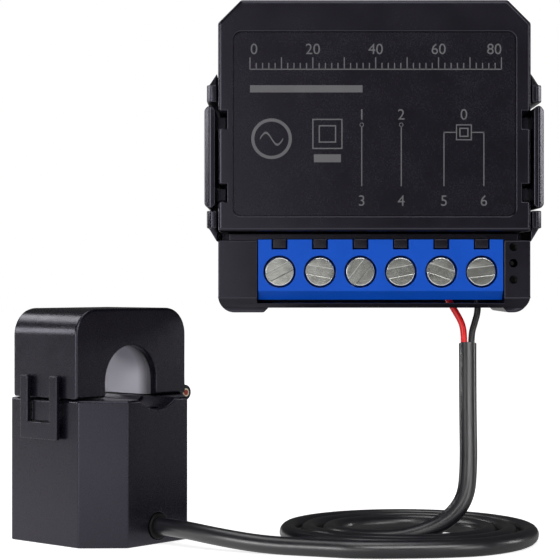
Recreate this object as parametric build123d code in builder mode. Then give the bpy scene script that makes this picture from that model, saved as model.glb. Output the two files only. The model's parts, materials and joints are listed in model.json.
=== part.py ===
from build123d import *

import os
from math import cos, hypot, pi, radians, sin, sqrt, tan

# Smart energy monitor: a square case with six screw terminals, and a split current clamp on a cord.
# Millimetres. The origin is the middle of the case's flat back, X to the right, Y to the back, Z up.
# A depth is a distance in front of the back, so it lies at minus Y.

# Clearances that several fits share
overrun = 1.0
seat = 0.01
touch = 0.03
snug = 0.06
slip = 0.1
loose = 0.3

# Case, seen from the front
case_width = 39.2
case_height = 39.2
case_depth = 18.0
lower_depth = 17.4
case_wall = 1.2
back_wall = 1.6
top_corner_cut = 2.9
foot_corner = 2.0
parting_depth = 7.0
edge_break = 0.3
half_width = case_width / 2
half_height = case_height / 2
inner_half_width = half_width - case_wall
inner_half_height = half_height - case_wall
inner_corner_cut = top_corner_cut - case_wall * (2 - sqrt(2))

# Front cover
cover_foot_z = -9.42
cover_floor = 1.0
locating_lip = 0.9
lip_reach = 1.0
notch_height = 2.2
notch_depth = 1.1
notch_spacing = 9.16
notch_backing = 0.9
label_width = 35.4
label_height = 23.1
label_centre_z = 4.05
label_corner = 1.0
label_recess = 0.4
label_sheet = 0.15

# Circuit board, on posts
board_back_depth = 4.0
board_thickness = 1.6
board_front_depth = board_back_depth + board_thickness
board_gap = 0.3
board_half_width = inner_half_width - board_gap
board_half_height = inner_half_height - board_gap
post_radius = 1.4
post_inset = 2.6

# Terminal block and the bay that it fills
pole_count = 6
pole_pitch = 5.08
terminal_end = 0.16
terminal_offset = 0.8
terminal_face_set = 0.1
terminal_top_z = -10.4
terminal_lip_z = -16.88
terminal_step_z = -17.6
terminal_foot_z = -18.0
terminal_lip_set = 0.75
terminal_step_set = 1.0
terminal_left = terminal_offset - pole_count * pole_pitch / 2 - terminal_end
terminal_right = terminal_offset + pole_count * pole_pitch / 2 + terminal_end
pole_places = [terminal_offset + (n - (pole_count - 1) / 2) * pole_pitch for n in range(pole_count)]
key_width = 1.98
key_height = 1.25
key_depth = 3.0
key_face_set = 0.35

# Case below the cover: two blocks beside the bay, a shelf over it and a sill under it
bay_gap = 0.08
bay_left = terminal_left - bay_gap
bay_right = terminal_right + bay_gap
lower_top_z = -10.5
shelf_thickness = 0.9
shelf_front_set = 1.5
shelf_side_set = 1.3
block_wall = 1.0
front_bevel = 1.2
sill_thickness = 0.6
sill_rise = 0.6
sill_left = -13.3
sill_right = 16.3
sill_slot_depth = 3.8
sill_slot_end = 0.6
column_back_depth = 8.4

# Side rails with lugs, and the clip bar of each side
rail_reach = 1.45
rail_top_z = 10.8
rail_shoulder_z = 8.6
rail_foot_z = -11.0
rail_foot_shoulder_z = -8.6
rail_front_depth = 6.6
rail_back_depth = 2.0
rail_nose_depth = 16.4
lug_height = 2.2
lug_top_z = 9.0
lug_foot_z = -9.0
lug_front_depth = 17.4
lug_cut = 0.6
bar_top_z = 6.35
bar_foot_z = -6.5
bar_gap = 0.35
bar_reach = 1.75
bar_front_depth = 17.7
bar_cut = 0.7
bar_end_cut = 0.45
hook_height = 1.8
hook_reach = 0.95
hook_front_depth = 12.6
hook_back_depth = 9.6

# Screw, rising cage and contact of a pole
screw_z = -14.46
head_radius = 1.87
head_length = 1.5
head_inset = 0.4
head_edge = 0.12
head_gap = 0.15
slot_width = 1.05
slot_depth = 0.45
slot_turns = (27, -9.5, 52, 11, -18.5, 7)
shank_radius = 1.45
shank_gap = 0.2
web_thickness = 0.25
cage_width = 4.0
cage_height = 4.0
cage_side = 0.4
cage_front_wall = 1.2
cage_back_wall = 0.8
cage_travel = 2.05
contact_share = 0.453
contact_thickness = 0.7
contact_width = 2.9
contact_foot_z = -17.2
contact_top_z = -11.3
wire_gap = 0.6
pin_width = 1.0
pin_height = 0.8
pin_end_depth = 2.6
entry_depth = 3.5
terminal_face_depth = lower_depth - terminal_face_set
contact_depth = board_front_depth + contact_share * (terminal_face_depth - board_front_depth)
head_face_depth = terminal_face_depth - head_inset
head_seat_depth = head_face_depth - head_length
shank_length = head_seat_depth - contact_depth - contact_thickness - shank_gap
pocket_floor_depth = head_seat_depth - snug
chamber_front_depth = pocket_floor_depth - web_thickness
cage_front_depth = chamber_front_depth - slip
cage_back_depth = contact_depth - wire_gap - cage_back_wall
chamber_back_depth = cage_back_depth - cage_travel - slip
entry_front_depth = contact_depth + contact_thickness / 3
entry_back_depth = entry_front_depth - entry_depth

# Pinhole column: two light guides and a reset plunger
pinhole_x = 17.46
pinhole_z = -13.39
pinhole_pitch = 2.05
pinhole_radius = 0.54
guide_radius = pinhole_radius - seat
guide_inset = 1.2
lamp_height = 0.5
lamp_width = 1.0
lamp_length = 0.6
switch_width = 1.5
switch_length = 2.5
switch_height = 0.55
dome_radius = 0.45
dome_height = 0.25
plunger_radius = 0.44
plunger_inset = 1.6
collar_radius = 0.72
collar_length = 0.6

# Parts on the circuit board: place of the middle, then the sizes
board_room = case_depth - case_wall - board_front_depth
core_place = (-11.0, 9.4)
core_width = 10.2
core_span = 5.0
core_top_gap = 2.0
core_limb = 1.4
core_middle = 3.0
winding_span = 9.4
winding_width = 7.0
bobbin_foot = 0.6
core_height = board_room - core_top_gap - bobbin_foot
can_radius = 3.15
can_top_gap = 1.6
can_height = board_room - can_top_gap
can_places = ((-1.7, 13.6), (-1.7, 6.7))
can_rim = 0.4
radio_place = (9.3, 7.3)
radio_width = 14.0
radio_height = 16.8
radio_thickness = 0.8
shield_width = 12.4
shield_height = 10.6
shield_depth = 1.9
shield_drop = 2.6
shield_wall = 0.2
fuse_place = (-16.2, -3.4)
fuse_radius = 1.2
fuse_length = 6.6
varistor_place = (-12.0, -4.6)
varistor_radius = 3.5
varistor_thickness = 3.1
choke_place = (-6.4, -4.9)
choke_radius = 2.6
choke_top_gap = 4.8
choke_height = board_room - choke_top_gap
choke_waist = 0.7
choke_flange = 1.0
bridge_place = (-0.4, -5.2)
bridge_width = 4.0
bridge_height = 4.7
bridge_thickness = 1.5
meter_place = (6.4, -5.4)
meter_width = 4.9
meter_height = 3.9
meter_thickness = 1.5
lead_pitch = 1.27
lead_count = 4
lead_width = 0.4
lead_reach = 0.9
lead_thickness = 0.25

# Surface that the clamp and the cord lie on, below the case
surface_z = -49.3

# Split current clamp, in its own frame: x across the jaw, y back along the bore, height from the surface
clamp_place = (-35.82, -5.49)
clamp_turn = 49.4
body_half_width = 9.6
body_back = 6.4
body_front = 11.05
body_face_half = 5.4
body_height = 18.6
body_wall = 1.1
body_roof = 1.2
body_edge = 0.18
part_gap = 0.12
jaw_half_width = 9.75
jaw_lap = 0.4
jaw_front = 6.175
jaw_back = 5.75
jaw_height = 11.4
jaw_wall = 1.15
jaw_roof = 1.0
jaw_corner = 3.5
jaw_cavity_corner = 1.0
jaw_edge = 0.18
bore_radius = 4.0
bore_rise = 2.7
mouth_radius = 4.62
mouth_rise = 2.1
mouth_height = body_height + mouth_rise
bore_height = body_height + bore_rise
liner_thickness = 0.55
liner_half_depth = 5.0
scoop_radius = 4.92
trough_rise = 3.6
trough_wall = 0.8
trough_height = body_height + trough_rise
trough_radius = scoop_radius + liner_thickness
arch_radius = mouth_radius + liner_thickness
limb_inner = 5.75
limb_outer = 8.15
core_half_depth = 3.0
yoke_low = 4.0
yoke_thickness = 2.4
core_gap = 0.06
crown_thickness = 2.2
floor_thickness = 1.4
floor_rib = 0.8
jaw_base = body_height + part_gap
jaw_right = jaw_half_width + jaw_lap
jaw_top = jaw_base + jaw_height
pole_face_low = body_height + (part_gap - core_gap) / 2
pole_face_high = pole_face_low + core_gap

# Hinge of the jaw, on its right side, in the parting plane
hinge_x = 10.75
hinge_half_depth = 5.7
hinge_height = body_height + part_gap / 2
knuckle_radius = 1.05
knuckle_gap = 0.25
ear_gap = 0.15
knuckle_drop = 1.8
knuckle_foot = body_height - knuckle_drop
ear_length = 1.9
hinge_pin_radius = 0.36
hinge_pin_proud = 0.05
ring_radius = 0.58
hinge_running = 0.05

# Latch of the jaw, on its left side
latch_stand_off = 0.42
latch_thickness = 0.62
latch_width = 6.9
latch_window = 4.1
latch_drop = 5.1
latch_sill_drop = 2.9
latch_pivot_rise = 2.5
latch_pivot_radius = 0.38
catch_width = 3.9
catch_proud = 0.35
catch_drop = 2.9
catch_rim = 0.2
latch_foot = body_height - latch_drop
latch_sill = body_height - latch_sill_drop
latch_pivot_height = jaw_base + latch_pivot_rise
catch_low = body_height - catch_drop
catch_high = body_height - catch_rim

# Bobbin and winding on the lower core
tube_wall = 0.6
flange_half = 3.6
flange_thickness = 0.6
spool_half = 5.5
coil_margin = 0.35
plate_x = 3.8
plate_set = 9.0
plate_thickness = 0.8
plate_height = 7.6
spring_thickness = 0.3
spring_half_width = 5.0
crown_top = jaw_top - jaw_roof - spring_thickness

# Grommet and cord
grommet_height = 2.3
grommet_radius = 1.7
grommet_proud = 0.25
grommet_length = 1.7
grommet_edge = 0.15
jacket_radius = 1.125
core_wire_radius = 0.42
core_wire_offset = 0.46
red_aside = 0.9
black_aside = 0.1
strand_radius = 0.25
strand_end_z = -13.2
bend_share = 0.45
coil_quarters = 10
coil_tuck = 0.9
coil_pitch = 2.68
coil_centre = (4.17, -9.7)
coil_half_width = 16.95
coil_half_depth = 15.6
coil_tail = 2 * jacket_radius
samples_per_arc = 16


def facing(depth):
    """A plane across the case at a depth, seen from the front: X and Z, building forwards."""
    return Plane(origin=(0, -depth, 0), x_dir=(1, 0, 0), z_dir=(0, -1, 0))


def lying(height):
    """A level plane of the case: X and Y, building upwards."""
    return Plane.XY.offset(height)


clamp_frame = Plane(
    origin=(clamp_place[0], clamp_place[1], surface_z),
    x_dir=(cos(radians(clamp_turn)), sin(radians(clamp_turn)), 0),
    z_dir=(0, 0, 1),
)


def level(height):
    """A level plane of the clamp: x across and y back, building upwards."""
    return clamp_frame.offset(height)


def across(set_back):
    """An upright plane of the clamp, seen from its front: x and height, building forwards."""
    origin = clamp_frame.from_local_coords((0, set_back, 0))
    return Plane(origin=origin, x_dir=clamp_frame.x_dir, z_dir=-clamp_frame.y_dir)


def along(side):
    """An upright plane of the clamp, across its width: y and height, building to the right."""
    origin = clamp_frame.from_local_coords((side, 0, 0))
    return Plane(origin=origin, x_dir=clamp_frame.y_dir, z_dir=clamp_frame.x_dir)


def pad(plane, left, right, low, high, amount, mode=Mode.ADD):
    """A straight-sided block on a plane, between two sides and two heights."""
    with BuildSketch(plane) as outline:
        with Locations(((left + right) / 2, (low + high) / 2)):
            Rectangle(right - left, high - low)
    extrude(outline.sketch, amount=amount, mode=mode)


def rod(plane, x, y, radius, amount, mode=Mode.ADD):
    """A round stud or bore on a plane."""
    with BuildSketch(plane) as outline:
        with Locations((x, y)):
            Circle(radius)
    extrude(outline.sketch, amount=amount, mode=mode)


def slab(plane, corners, amount, mode=Mode.ADD):
    """A many-sided block on a plane."""
    with BuildSketch(plane) as outline:
        with BuildLine():
            Polyline(*corners, close=True)
        make_face()
    extrude(outline.sketch, amount=amount, mode=mode)


def keep(piece, name):
    """Label a finished piece and write it under its name."""
    piece.part.label = name
    export_step(piece.part, f"parts/{name}.step")


def cut_corners(half, top, low, cut):
    """The corners of a rectangle whose two upper corners are cut off."""
    return [
        (-half, low),
        (half, low),
        (half, top - cut),
        (half - cut, top),
        (cut - half, top),
        (-half, top - cut),
    ]


def case_corners():
    """The case's whole outline, with the raised middle of its lower edge."""
    sides = cut_corners(half_width, half_height, -half_height, top_corner_cut)
    sill = [
        (sill_left - sill_rise, -half_height),
        (sill_left, sill_rise - half_height),
        (sill_right, sill_rise - half_height),
        (sill_right + sill_rise, -half_height),
    ]
    return [sides[0], *sill, *sides[1:]]


os.makedirs("parts", exist_ok=True)

# Rear housing: tray, blocks beside the terminals, shelf with keys, sill, rails, lugs and posts
with BuildPart() as rear_housing:
    with BuildSketch(facing(0)) as housing_outline:
        with BuildLine():
            Polyline(*case_corners(), close=True)
        make_face()
        lowest = housing_outline.vertices().group_by(Axis.Y)[0].sort_by(Axis.X)
        fillet([lowest[0], lowest[-1]], foot_corner)
    extrude(amount=parting_depth)
    with BuildSketch(facing(parting_depth)) as lower_outline:
        add(housing_outline.sketch_local)
        with Locations((0, lower_top_z + case_height / 2)):
            Rectangle(case_width + overrun, case_height, mode=Mode.SUBTRACT)
    extrude(amount=lower_depth - parting_depth)
    slab(
        facing(back_wall),
        cut_corners(inner_half_width, inner_half_height, -inner_half_height, inner_corner_cut),
        parting_depth - back_wall,
        mode=Mode.SUBTRACT,
    )
    pad(
        facing(parting_depth - overrun),
        -inner_half_width,
        bay_left - block_wall,
        -inner_half_height,
        lower_top_z - block_wall,
        lower_depth - block_wall - parting_depth + overrun,
        mode=Mode.SUBTRACT,
    )
    pad(
        facing(parting_depth - overrun),
        bay_right - overrun,
        inner_half_width,
        -inner_half_height,
        lower_top_z - block_wall / 2,
        column_back_depth - parting_depth + overrun,
        mode=Mode.SUBTRACT,
    )
    slab(
        Plane.YZ.offset(-half_width - overrun),
        [
            (-lower_depth - overrun, -half_height - overrun),
            (-lower_depth + front_bevel, -half_height - overrun),
            (-lower_depth + front_bevel, sill_rise - half_height - touch),
            (-lower_depth, sill_rise - half_height - touch + front_bevel),
            (-lower_depth - overrun, sill_rise - half_height - touch + front_bevel),
        ],
        case_width + 2 * overrun,
        mode=Mode.SUBTRACT,
    )
    pad(
        facing(board_front_depth + 2 * loose),
        shelf_side_set - half_width,
        half_width - shelf_side_set,
        lower_top_z,
        lower_top_z + shelf_thickness,
        lower_depth - shelf_front_set - board_front_depth - 2 * loose,
    )
    pad(
        facing(parting_depth - overrun),
        bay_left,
        bay_right,
        sill_rise + sill_thickness - half_height,
        terminal_top_z + snug,
        lower_depth + overrun,
        mode=Mode.SUBTRACT,
    )
    pad(
        lying(-half_height - overrun),
        sill_left + sill_slot_end,
        sill_right - sill_slot_end,
        -entry_front_depth - loose,
        sill_slot_depth - entry_front_depth - loose,
        sill_rise + sill_thickness + 2 * overrun,
        mode=Mode.SUBTRACT,
    )
    for place in pole_places:
        pad(
            facing(terminal_face_depth - key_depth + slip),
            place - key_width / 2 + slip,
            place + key_width / 2 - slip,
            terminal_top_z - key_height + slip,
            terminal_top_z + snug + touch,
            key_depth - key_face_set - slip,
        )
    for step in (-1, 0, 1):
        rod(
            facing(parting_depth - overrun),
            pinhole_x,
            pinhole_z + step * pinhole_pitch,
            pinhole_radius,
            lower_depth,
            mode=Mode.SUBTRACT,
        )
    for side in (-1, 1):
        for end in (-1, 1):
            rod(
                facing(back_wall - touch),
                side * (inner_half_width - post_inset),
                end * (inner_half_height - post_inset),
                post_radius,
                board_back_depth - back_wall + touch,
            )
        slab(
            facing(rail_back_depth),
            [
                (side * half_width, rail_top_z),
                (side * (half_width + rail_reach), rail_shoulder_z),
                (side * (half_width + rail_reach), rail_foot_shoulder_z),
                (side * half_width, rail_foot_z),
            ],
            rail_front_depth - rail_back_depth,
        )
        clear = half_width + bar_gap / 2
        narrowing = (clear - half_width) / rail_reach
        noses = (
            (rail_top_z, rail_shoulder_z, lug_top_z - lug_height),
            (rail_foot_z, rail_foot_shoulder_z, lug_foot_z + lug_height),
        )
        for tip_z, shoulder_z, inner_z in noses:
            slab(
                facing(rail_front_depth - touch),
                [
                    (side * clear, tip_z + (shoulder_z - tip_z) * narrowing),
                    (side * (half_width + rail_reach), shoulder_z),
                    (side * (half_width + rail_reach), inner_z),
                    (side * clear, inner_z),
                ],
                rail_nose_depth - rail_front_depth + touch,
            )
        for lug_base_z in (lug_foot_z, lug_top_z - lug_height):
            slab(
                lying(lug_base_z),
                [
                    (side * clear, -rail_front_depth + touch),
                    (side * clear, -lug_front_depth),
                    (side * (half_width + rail_reach - lug_cut), -lug_front_depth),
                    (side * (half_width + rail_reach), lug_cut - lug_front_depth),
                    (side * (half_width + rail_reach), -rail_front_depth + touch),
                ],
                lug_height,
            )
keep(rear_housing, "rear_housing")

# Front cover: a cap with cut upper corners, a label recess and two notches in each side
with BuildPart() as front_cover:
    slab(
        facing(parting_depth),
        cut_corners(half_width, half_height, cover_foot_z, top_corner_cut),
        case_depth - parting_depth,
    )
    chamfer(front_cover.faces().sort_by(Axis.Y)[0].edges(), edge_break)
    slab(
        facing(parting_depth),
        cut_corners(inner_half_width, inner_half_height, cover_foot_z + cover_floor, inner_corner_cut),
        case_depth - parting_depth - case_wall,
        mode=Mode.SUBTRACT,
    )
    with BuildSketch(facing(parting_depth - lip_reach)) as lip_outline:
        with BuildLine():
            Polyline(
                *cut_corners(
                    inner_half_width - slip,
                    inner_half_height - slip,
                    cover_foot_z + cover_floor,
                    inner_corner_cut,
                ),
                close=True,
            )
        make_face()
        with BuildLine():
            Polyline(
                *cut_corners(
                    inner_half_width - slip - locating_lip,
                    inner_half_height - slip - locating_lip,
                    cover_foot_z,
                    inner_corner_cut,
                ),
                close=True,
            )
        make_face(mode=Mode.SUBTRACT)
    extrude(amount=lip_reach + touch)
    for side in (-1, 1):
        outer = side * half_width
        for end in (-1, 1):
            middle = end * notch_spacing / 2
            shoulder = side * (half_width - notch_depth - notch_backing)
            near, far = sorted((shoulder, side * (inner_half_width + touch)))
            pad(
                facing(parting_depth + locating_lip),
                near,
                far,
                middle - notch_height / 2 - notch_backing,
                middle + notch_height / 2 + notch_backing,
                case_depth - parting_depth - locating_lip - case_wall + touch,
            )
            near, far = sorted((outer - side * notch_depth, outer + side * overrun))
            pad(
                facing(parting_depth + locating_lip + notch_backing),
                near,
                far,
                middle - notch_height / 2,
                middle + notch_height / 2,
                case_depth,
                mode=Mode.SUBTRACT,
            )
    with BuildSketch(facing(case_depth - label_recess)):
        with Locations((0, label_centre_z)):
            RectangleRounded(label_width, label_height, label_corner)
    extrude(amount=label_recess + overrun, mode=Mode.SUBTRACT)
keep(front_cover, "front_cover")

# Label sheet in the cover's recess
with BuildPart() as front_label:
    with BuildSketch(facing(case_depth - label_recess)):
        with Locations((0, label_centre_z)):
            RectangleRounded(label_width - 2 * slip, label_height - 2 * slip, label_corner - slip)
    extrude(amount=label_sheet)
keep(front_label, "front_label")

# Side clip bars, whose two hooks reach into the cover's notches
for side, name in ((-1, "side_clip_left"), (1, "side_clip_right")):
    inner = half_width + bar_gap
    outer = half_width + bar_reach
    with BuildPart() as side_clip:
        slab(
            lying(bar_foot_z),
            [
                (side * inner, -rail_front_depth),
                (side * inner, -bar_front_depth),
                (side * (outer - bar_cut), -bar_front_depth),
                (side * outer, bar_cut - bar_front_depth),
                (side * outer, -rail_front_depth),
            ],
            bar_top_z - bar_foot_z,
        )
        ends = side_clip.faces().filter_by(Axis.Z)
        chamfer(ends.edges().filter_by(Axis.Y), bar_end_cut)
        for end in (-1, 1):
            near, far = sorted((side * (half_width - hook_reach), side * (inner + touch)))
            pad(
                facing(hook_back_depth),
                near,
                far,
                end * notch_spacing / 2 - hook_height / 2,
                end * notch_spacing / 2 + hook_height / 2,
                hook_front_depth - hook_back_depth,
            )
    keep(side_clip, name)

# Circuit board with the pin holes of the contacts
with BuildPart() as circuit_board:
    slab(
        facing(board_back_depth),
        cut_corners(board_half_width, board_half_height, -board_half_height, inner_corner_cut),
        board_thickness,
    )
    for place in pole_places:
        pad(
            facing(board_back_depth - overrun),
            place - pin_width / 2 - slip,
            place + pin_width / 2 + slip,
            contact_top_z - pin_height - slip,
            contact_top_z + slip,
            board_thickness + 2 * overrun,
            mode=Mode.SUBTRACT,
        )
keep(circuit_board, "circuit_board")

# Terminal block: head pockets, keys, cage chambers, wire entries and contact slots
with BuildPart() as terminal_block:
    slab(
        Plane.YZ.offset(terminal_left),
        [
            (-board_front_depth, terminal_foot_z),
            (terminal_step_set - terminal_face_depth, terminal_foot_z),
            (terminal_lip_set - terminal_face_depth, terminal_step_z),
            (-terminal_face_depth, terminal_lip_z),
            (-terminal_face_depth, terminal_top_z),
            (-board_front_depth, terminal_top_z),
        ],
        terminal_right - terminal_left,
    )
    for place in pole_places:
        chamber_low = screw_z - cage_height / 2 - slip
        chamber_high = screw_z + cage_height / 2 + slip
        rod(
            facing(pocket_floor_depth),
            place,
            screw_z,
            head_radius + head_gap,
            head_length + head_inset + overrun,
            mode=Mode.SUBTRACT,
        )
        rod(
            facing(chamber_front_depth - overrun),
            place,
            screw_z,
            shank_radius + slip,
            web_thickness + 2 * overrun,
            mode=Mode.SUBTRACT,
        )
        pad(
            facing(terminal_face_depth - key_depth),
            place - key_width / 2,
            place + key_width / 2,
            terminal_top_z - key_height,
            terminal_top_z + overrun,
            key_depth + overrun,
            mode=Mode.SUBTRACT,
        )
        pad(
            facing(chamber_back_depth),
            place - cage_width / 2 - slip,
            place + cage_width / 2 + slip,
            chamber_low,
            chamber_high,
            chamber_front_depth - chamber_back_depth,
            mode=Mode.SUBTRACT,
        )
        pad(
            facing(entry_back_depth),
            place - cage_width / 2 - slip,
            place + cage_width / 2 + slip,
            terminal_foot_z - overrun,
            chamber_low + touch,
            entry_depth,
            mode=Mode.SUBTRACT,
        )
        pad(
            facing(contact_depth - touch),
            place - contact_width / 2 - touch,
            place + contact_width / 2 + touch,
            contact_foot_z - touch,
            contact_top_z + touch,
            contact_thickness + 2 * touch,
            mode=Mode.SUBTRACT,
        )
        pad(
            facing(board_front_depth - overrun),
            place - pin_width / 2 - touch,
            place + pin_width / 2 + touch,
            contact_top_z - pin_height - touch,
            contact_top_z + touch,
            contact_depth - board_front_depth + overrun,
            mode=Mode.SUBTRACT,
        )
keep(terminal_block, "terminal_block")

# Contacts: a bar in each chamber and a pin through the board
with BuildPart() as terminal_contacts:
    for place in pole_places:
        pad(
            facing(contact_depth),
            place - contact_width / 2,
            place + contact_width / 2,
            contact_foot_z,
            contact_top_z,
            contact_thickness,
        )
        pad(
            facing(pin_end_depth),
            place - pin_width / 2,
            place + pin_width / 2,
            contact_top_z - pin_height,
            contact_top_z,
            contact_depth - pin_end_depth + touch,
        )
keep(terminal_contacts, "terminal_contacts")

# Terminal screws, each with its slot at its own turn
for number, place in enumerate(pole_places, start=1):
    with BuildPart() as terminal_screw:
        rod(facing(head_seat_depth), place, screw_z, head_radius, head_length)
        chamfer(terminal_screw.faces().sort_by(Axis.Y)[0].edges(), head_edge)
        rod(facing(head_seat_depth - shank_length), place, screw_z, shank_radius, shank_length + touch)
        with BuildSketch(facing(head_face_depth - slot_depth)):
            with Locations(Location((place, screw_z), slot_turns[(number - 1) % len(slot_turns)])):
                Rectangle(2 * head_radius + overrun, slot_width)
        extrude(amount=slot_depth + overrun, mode=Mode.SUBTRACT)
    keep(terminal_screw, f"terminal_screw_{number}")

# Rising cages, each round its contact bar and threaded on its screw
for number, place in enumerate(pole_places, start=1):
    with BuildPart() as clamp_cage:
        pad(
            facing(cage_back_depth),
            place - cage_width / 2,
            place + cage_width / 2,
            screw_z - cage_height / 2,
            screw_z + cage_height / 2,
            cage_front_depth - cage_back_depth,
        )
        pad(
            facing(cage_back_depth + cage_back_wall),
            place - cage_width / 2 + cage_side,
            place + cage_width / 2 - cage_side,
            screw_z - cage_height / 2 - overrun,
            screw_z + cage_height / 2 + overrun,
            cage_front_depth - cage_front_wall - cage_back_depth - cage_back_wall,
            mode=Mode.SUBTRACT,
        )
        rod(
            facing(cage_front_depth - cage_front_wall - touch),
            place,
            screw_z,
            shank_radius + snug,
            cage_front_wall + overrun,
            mode=Mode.SUBTRACT,
        )
    keep(clamp_cage, f"clamp_cage_{number}")

# Reset switch on the board, its plunger in the middle pinhole, lamps and light guides in the others
switch_front_depth = board_front_depth + switch_height
with BuildPart() as reset_switch:
    pad(
        facing(board_front_depth),
        inner_half_width - slip - switch_width,
        inner_half_width - slip,
        pinhole_z - switch_length / 2,
        pinhole_z + switch_length / 2,
        switch_height,
    )
keep(reset_switch, "reset_switch")

plunger_foot_depth = switch_front_depth + dome_height + touch
with BuildPart() as reset_plunger:
    rod(facing(plunger_foot_depth), pinhole_x, pinhole_z, dome_radius, dome_height)
    rod(
        facing(column_back_depth - slip - collar_length),
        pinhole_x,
        pinhole_z,
        collar_radius,
        collar_length,
    )
    rod(
        facing(plunger_foot_depth + dome_height),
        pinhole_x,
        pinhole_z,
        plunger_radius,
        lower_depth - plunger_inset - plunger_foot_depth - dome_height,
    )
    fillet(reset_plunger.faces().sort_by(Axis.Y)[0].edges(), plunger_radius / 2)
keep(reset_plunger, "reset_plunger")

with BuildPart() as status_lamps:
    for step in (-1, 1):
        middle = pinhole_z + step * pinhole_pitch
        pad(
            facing(board_front_depth),
            pinhole_x - lamp_width / 2,
            pinhole_x + lamp_width / 2,
            middle - lamp_length / 2,
            middle + lamp_length / 2,
            lamp_height,
        )
keep(status_lamps, "status_lamps")

with BuildPart() as light_guides:
    for step in (-1, 1):
        rod(
            facing(board_front_depth + lamp_height + slip),
            pinhole_x,
            pinhole_z + step * pinhole_pitch,
            guide_radius,
            lower_depth - guide_inset - board_front_depth - lamp_height - slip,
        )
keep(light_guides, "light_guides")

# Power transformer: core with two windows, and the winding round its middle limb
core_x, core_z = core_place
core_foot_depth = board_front_depth + bobbin_foot
with BuildPart() as transformer_core:
    pad(
        facing(core_foot_depth),
        core_x - core_width / 2,
        core_x + core_width / 2,
        core_z - core_span / 2,
        core_z + core_span / 2,
        core_height,
    )
    for side in (-1, 1):
        near, far = sorted((side * core_middle / 2, side * (core_width / 2 - core_limb)))
        pad(
            lying(core_z - core_span / 2 - overrun),
            core_x + near,
            core_x + far,
            core_limb - core_foot_depth - core_height,
            -core_foot_depth - core_limb,
            core_span + 2 * overrun,
            mode=Mode.SUBTRACT,
        )
keep(transformer_core, "transformer_core")

with BuildPart() as transformer_winding:
    with BuildSketch(facing(core_foot_depth + core_limb + touch)):
        with Locations((core_x, core_z)):
            RectangleRounded(winding_width, winding_span, winding_width / 4)
            Rectangle(core_middle + 2 * touch, core_span + 2 * touch, mode=Mode.SUBTRACT)
    extrude(amount=core_height - 2 * core_limb - 2 * touch)
    for end in (-1, 1):
        low, high = sorted((end * (core_span / 2 + touch), end * winding_span / 2))
        pad(
            facing(board_front_depth),
            core_x - core_width / 2,
            core_x + core_width / 2,
            core_z + low,
            core_z + high,
            bobbin_foot + core_limb + 2 * touch,
        )
keep(transformer_winding, "transformer_winding")

# Two bulk capacitors
with BuildPart() as bulk_capacitors:
    for can_x, can_z in can_places:
        rod(facing(board_front_depth), can_x, can_z, can_radius, can_height)
    fillet(bulk_capacitors.faces().filter_by(Axis.Y).group_by(Axis.Y)[0].edges(), can_rim)
keep(bulk_capacitors, "bulk_capacitors")

# Radio module flat on the board, and its shield
radio_x, radio_z = radio_place
with BuildPart() as radio_board:
    pad(
        facing(board_front_depth),
        radio_x - radio_width / 2,
        radio_x + radio_width / 2,
        radio_z - radio_height / 2,
        radio_z + radio_height / 2,
        radio_thickness,
    )
keep(radio_board, "radio_board")

with BuildPart() as radio_shield:
    with BuildSketch(facing(board_front_depth + radio_thickness)):
        with Locations((radio_x, radio_z - shield_drop)):
            RectangleRounded(shield_width, shield_height, shield_wall)
    extrude(amount=shield_depth)
    with BuildSketch(facing(board_front_depth + radio_thickness)):
        with Locations((radio_x, radio_z - shield_drop)):
            Rectangle(shield_width - 2 * shield_wall, shield_height - 2 * shield_wall)
    extrude(amount=shield_depth - shield_wall, mode=Mode.SUBTRACT)
keep(radio_shield, "radio_shield")

# Input fuse, surge varistor, choke, bridge rectifier and metering chip
with BuildPart() as input_fuse:
    rod(
        lying(fuse_place[1] - fuse_length / 2),
        fuse_place[0],
        -board_front_depth - fuse_radius,
        fuse_radius,
        fuse_length,
    )
keep(input_fuse, "input_fuse")

with BuildPart() as surge_varistor:
    rod(
        Plane.YZ.offset(varistor_place[0] - varistor_thickness / 2),
        -board_front_depth - varistor_radius,
        varistor_place[1],
        varistor_radius,
        varistor_thickness,
    )
    fillet(surge_varistor.edges().filter_by(GeomType.CIRCLE), varistor_thickness / 4)
keep(surge_varistor, "surge_varistor")

with BuildPart() as filter_choke:
    rod(facing(board_front_depth), *choke_place, choke_radius - choke_waist, choke_height)
    for foot in (board_front_depth, board_front_depth + choke_height - choke_flange):
        rod(facing(foot), *choke_place, choke_radius, choke_flange)
keep(filter_choke, "filter_choke")

with BuildPart() as bridge_rectifier:
    pad(
        facing(board_front_depth),
        bridge_place[0] - bridge_width / 2,
        bridge_place[0] + bridge_width / 2,
        bridge_place[1] - bridge_height / 2,
        bridge_place[1] + bridge_height / 2,
        bridge_thickness,
    )
    chamfer(bridge_rectifier.faces().sort_by(Axis.Y)[0].edges(), bridge_thickness / 6)
keep(bridge_rectifier, "bridge_rectifier")

with BuildPart() as metering_chip:
    pad(
        facing(board_front_depth + lead_thickness / 2),
        meter_place[0] - meter_width / 2,
        meter_place[0] + meter_width / 2,
        meter_place[1] - meter_height / 2,
        meter_place[1] + meter_height / 2,
        meter_thickness,
    )
    for n in range(lead_count):
        middle = meter_place[0] + (n - (lead_count - 1) / 2) * lead_pitch
        pad(
            facing(board_front_depth),
            middle - lead_width / 2,
            middle + lead_width / 2,
            meter_place[1] - meter_height / 2 - lead_reach,
            meter_place[1] + meter_height / 2 + lead_reach,
            lead_thickness,
        )
keep(metering_chip, "metering_chip")


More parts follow.
